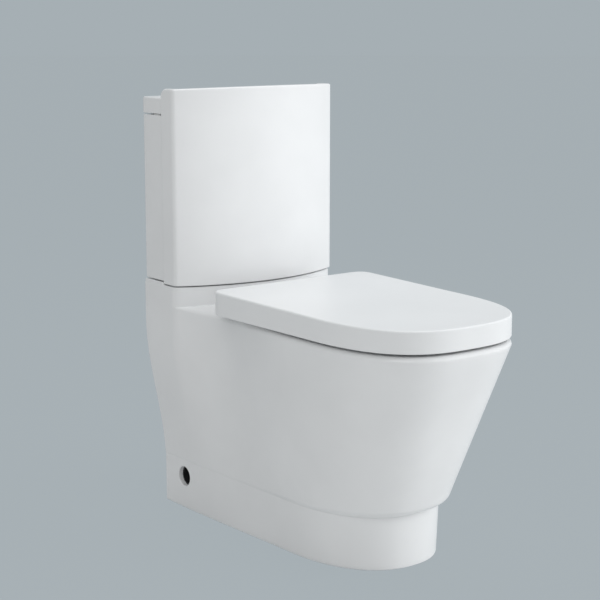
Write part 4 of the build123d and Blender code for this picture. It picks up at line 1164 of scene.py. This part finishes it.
falls = [(d - LID_REAR) / (DEPTH - LID_REAR) for x, d in lid_line]
tops = [LID_TOP - LID_FALL * fall for fall in falls]
plates = [LID_PLATE - PLATE_FALL * fall for fall in falls]
lows = [plate if gap else LID_LOW for plate, gap in zip(plates, opened)]
eased = [z + LID_EASE for z in lows]
rows = [lid_row(LID_SKIRT + LID_COVE, plates)]
rows.append(lid_row(LID_SKIRT, [z if gap else z - LID_COVE for z, gap in zip(plates, opened)]))
rows.append(lid_row(LID_SKIRT, [z if gap else z + LID_EASE for z, gap in zip(lows, opened)]))
rows.append(lid_row(LID_SKIRT - LID_EASE, lows))
rows.append(lid_row(LID_EASE, lows))
rows.append(lid_row(0.0, eased))
for share in SKIRT_SHARES:
    rows.append(lid_row(0.0, [mix(z, top - LID_ROUND, share) for z, top in zip(eased, tops)]))
for inset, drop in quarter(LID_ROUND, 9):
    rows.append(lid_row(inset, [top - drop for top in tops]))
lid = Skin()
made = lid.strip(rows, ring=True)
lid.cap(made[-1])
lid.cap(made[0])
lug_top = LID_PLATE + 1.0
lid_lug = knuckle(180.0, 360.0) + [
    (HINGE_DEPTH + LUG_RADIUS, lug_top), (HINGE_DEPTH - LUG_RADIUS, lug_top)]
add_lugs(lid, LID_LUG_NEAR, LID_LUG_FAR, lid_lug)
finished(lid.shape("lid_moulding"), "lid", resin, "seat_lid")

# Hinges: chrome posts on the deck, steel pins, and grey soft close cartridges,
# clamped from below by studs, rubber washers and black nuts.
dressed(chrome, "hinge_bases", "hinge_pins")
dressed(grey_acetal, "hinge_dampers")
dressed(zinc, "hinge_studs")
dressed(black_rubber, "stud_washers")
dressed(black_nylon, "stud_nuts")

# Buffers of milky soft plastic below the seat and the lid, and rubber pads below
# the cistern: the same rounded pad at several spots.
PAD_CROWN = 0.86


def pad_tree():
    """Geometry nodes that set a rounded pad on every point."""
    tree = bpy.data.node_groups.new("pad_row", "GeometryNodeTree")
    ports = {}
    kinds = (("Spots", "Geometry"), ("Width", "Float"), ("Length", "Float"), ("Height", "Float"),
             ("Corner", "Float"), ("Ease", "Float"), ("Finish", "Material"))
    for name, kind in kinds:
        socket = tree.interface.new_socket(name, in_out="INPUT", socket_type="NodeSocket" + kind)
        ports[name] = socket.identifier
    tree.interface.new_socket("Pads", in_out="OUTPUT", socket_type="NodeSocketGeometry")
    given = tree.nodes.new("NodeGroupInput").outputs

    def step(kind, settings=None, **sockets):
        made = tree.nodes.new(kind)
        for key, value in (settings or {}).items():
            setattr(made, key, value)
        for key, value in sockets.items():
            socket = made.inputs[key.replace("_", " ")]
            if isinstance(value, bpy.types.NodeSocket):
                tree.links.new(value, socket)
            else:
                socket.default_value = value
        return made.outputs

    outline = step("GeometryNodeCurvePrimitiveQuadrilateral", {"mode": "RECTANGLE"},
                   Width=given["Width"], Height=given["Length"])
    soft = step("GeometryNodeFilletCurve", {"mode": "POLY"}, Curve=outline["Curve"],
                Count=6, Radius=given["Corner"])
    face = step("GeometryNodeFillCurve", {"mode": "NGONS"}, Curve=soft["Curve"])
    wall = step("ShaderNodeMath", {"operation": "SUBTRACT"}, Value=given["Height"])
    tree.links.new(given["Ease"], tree.nodes[-1].inputs[1])
    body = step("GeometryNodeExtrudeMesh", {"mode": "FACES"}, Mesh=face["Mesh"],
                Offset_Scale=wall[0], Individual=False)
    crown = step("GeometryNodeExtrudeMesh", {"mode": "FACES"}, Mesh=body["Mesh"],
                 Selection=body["Top"], Offset_Scale=given["Ease"], Individual=False)
    eased = step("GeometryNodeScaleElements", {"domain": "FACE"}, Geometry=crown["Mesh"],
                 Selection=crown["Top"], Scale=PAD_CROWN)
    sole = step("GeometryNodeFlipFaces", Mesh=face["Mesh"])
    whole = tree.nodes.new("GeometryNodeJoinGeometry")
    tree.links.new(eased["Geometry"], whole.inputs[0])
    tree.links.new(sole["Mesh"], whole.inputs[0])
    closed = step("GeometryNodeMergeByDistance", Geometry=whole.outputs[0], Distance=MERGE)
    copies = step("GeometryNodeInstanceOnPoints", Points=given["Spots"],
                  Instance=closed["Geometry"])
    real = step("GeometryNodeRealizeInstances", Geometry=copies["Instances"])
    coated = step("GeometryNodeSetMaterial", Geometry=real["Geometry"],
                  Material=given["Finish"])
    end = tree.nodes.new("NodeGroupOutput")
    tree.links.new(coated["Geometry"], end.inputs[0])
    return tree, ports


pad_row, pad_ports = pad_tree()


def pads(name, spots, z, sizes, body, material, node):
    """One piece with a pad standing on every spot."""
    data = bpy.data.meshes.new(name)
    data.from_pydata([place(x, d, z) for x, d in spots], [], [])
    row = bpy.data.objects.new(name, data)
    bpy.context.collection.objects.link(row)
    maker = row.modifiers.new("pads", "NODES")
    maker.node_group = pad_row
    for key, size in zip(("Width", "Length", "Height", "Corner", "Ease"), sizes):
        maker[pad_ports[key]] = size * MM
    maker[pad_ports["Finish"]] = material
    finished(plain_mesh(row), body, material, node)


REAR_BUFFER = (144.0, 400.0)
FRONT_BUFFER = (121.0, 598.0)
TANK_PAD_HALF = 156.0
TANK_PAD_DEPTHS = (22.0, 50.0)
SEAT_PAD = (12.0, 34.0, 6.0, 5.5, 0.8)
LID_PAD = (14.0, 14.0, 15.0, 6.9, 1.2)
TANK_PAD = (16.0, 16.0, 2.0, 2.0, 0.4)
buffer_spots = [(side * x, d) for x, d in (REAR_BUFFER, FRONT_BUFFER) for side in (-1, 1)]
tank_spots = [(side * TANK_PAD_HALF, d) for side in (-1, 1) for d in TANK_PAD_DEPTHS]
pads("seat_buffer_row", buffer_spots, RIM, SEAT_PAD, "seat", milky, "seat_buffers")
pads("lid_buffer_row", buffer_spots, SEAT_TOP, LID_PAD, "lid", milky, "lid_buffers")
pads("tank_pad_row", tank_spots, TANK_SEAT, TANK_PAD, "pan", black_rubber, "tank_pads")

# Studio: a wide pale floor that runs into an even background, one broad key light
# from the front right, soft light from above and a weaker fill from the front left.
STAGE_TONE = (0.381, 0.429, 0.456)
STAGE_SHARE = 0.965
FLOOR_WHITE = (0.79, 0.80, 0.80)
FLOOR_SHADE = 0.985
FLOOR_RADII = (20.0, 1500.0, 6000.0, 30000.0)


def seen_directly(finish):
    """One for rays from the camera and for mirrored or refracted ones."""
    rays = finish.node("ShaderNodeLightPath")
    node = rays.socket.node
    parts = [Value(finish, node.outputs[name]) for name in
             ("Is Camera Ray", "Is Glossy Ray", "Is Transmission Ray")]
    return finish.node("ShaderNodeMath", {"operation": "MINIMUM"},
                       {0: parts[0] + parts[1] + parts[2], 1: 1.0})


def backdrop_finish():
    """Matt floor with an even tone that keeps a faint shadow."""
    finish = Finish("backdrop")
    cloud = finish.noise(1.5, 2.0)
    tone = finish.ramp(cloud, tuple(FLOOR_SHADE * c for c in FLOOR_WHITE), FLOOR_WHITE)
    finish.surface(Base_Color=tone, Roughness=0.9)
    glow = finish.node("ShaderNodeEmission", None, {"Color": (*STAGE_TONE, 1.0), "Strength": 1.0})
    both = finish.node("ShaderNodeMixShader", None, {
        0: seen_directly(finish) * STAGE_SHARE,
        1: Value(finish, finish.shader.outputs[0]), 2: glow})
    output = finish.tree.nodes["Material Output"]
    finish.feed(output.inputs["Surface"], both)
    return finish.material


floor = Skin()
rings = [circle(radius, WALL_Y, 64) for radius in FLOOR_RADII]
made = floor.strip([lifted(ring, 0.0) for ring in rings], ring=True)
floor.mesh.faces.new(made[0])
studio = floor.shape("studio_floor")
studio.data.materials.append(backdrop_finish())
studio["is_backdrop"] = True

AIR_TONE = (0.985, 0.995, 1.0)
AIR_STRENGTH = 0.4


class Air(Finish):
    """World with light for the object and an even tone for the camera."""

    def __init__(self):
        world = bpy.data.worlds.new("studio_air")
        bpy.context.scene.world = world
        world.use_nodes = True
        self.tree = world.node_tree
        light = self.tree.nodes["Background"]
        light.inputs["Color"].default_value = (*AIR_TONE, 1.0)
        light.inputs["Strength"].default_value = AIR_STRENGTH
        wall = self.node("ShaderNodeBackground", None, {"Color": (*STAGE_TONE, 1.0)})
        both = self.node("ShaderNodeMixShader", None, {
            0: seen_directly(self), 1: Value(self, light.outputs[0]), 2: wall})
        self.feed(self.tree.nodes["World Output"].inputs["Surface"], both)


Air()

COOL = (0.97, 0.985, 1.0)
NEUTRAL = (1.0, 1.0, 1.0)
AIM = (0.0, 0.0, 0.4)


def softbox(name, spot, size, power, tint):
    """Area light at a place, turned towards the middle of the object."""
    lamp = bpy.data.lights.new(name, "AREA")
    lamp.shape = "RECTANGLE"
    lamp.size, lamp.size_y = size
    lamp.energy = power
    lamp.color = tint
    shape = bpy.data.objects.new(name, lamp)
    bpy.context.collection.objects.link(shape)
    shape.location = spot
    shape.rotation_euler = (Vector(AIM) - Vector(spot)).to_track_quat("-Z", "Y").to_euler()
    return shape


key = softbox("key_right", (2.5, -2.25, 1.35), (2.6, 2.6), 78.0, COOL)
key.visible_glossy = False
softbox("top_soft", (0.2, 0.1, 3.0), (2.4, 2.4), 30.0, COOL)
softbox("fill_left", (-2.5, -2.1, 2.4), (2.4, 2.0), 27.0, NEUTRAL)

# Camera: at the angle and distance fitted to the photograph, with a long lens that
# keeps the upright edges nearly parallel.
AZIMUTH = math.radians(-37.3)
ELEVATION = math.radians(10.8)
LENS = 91.3
SENSOR = 36.0
TARGET = Vector((-0.0278, 0.0717, 0.4286))
DISTANCE = 2.7664
camera_data = bpy.data.cameras.new("camera")
camera_data.lens = LENS
camera_data.sensor_width = SENSOR
camera = bpy.data.objects.new("camera", camera_data)
bpy.context.collection.objects.link(camera)
away = Vector((math.sin(AZIMUTH) * math.cos(ELEVATION),
               -math.cos(AZIMUTH) * math.cos(ELEVATION), math.sin(ELEVATION)))
camera.location = TARGET + DISTANCE * away
camera.rotation_euler = away.to_track_quat("Z", "Y").to_euler()
bpy.context.scene.camera = camera
bpy.context.scene.view_settings.view_transform = "Standard"

low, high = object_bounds()
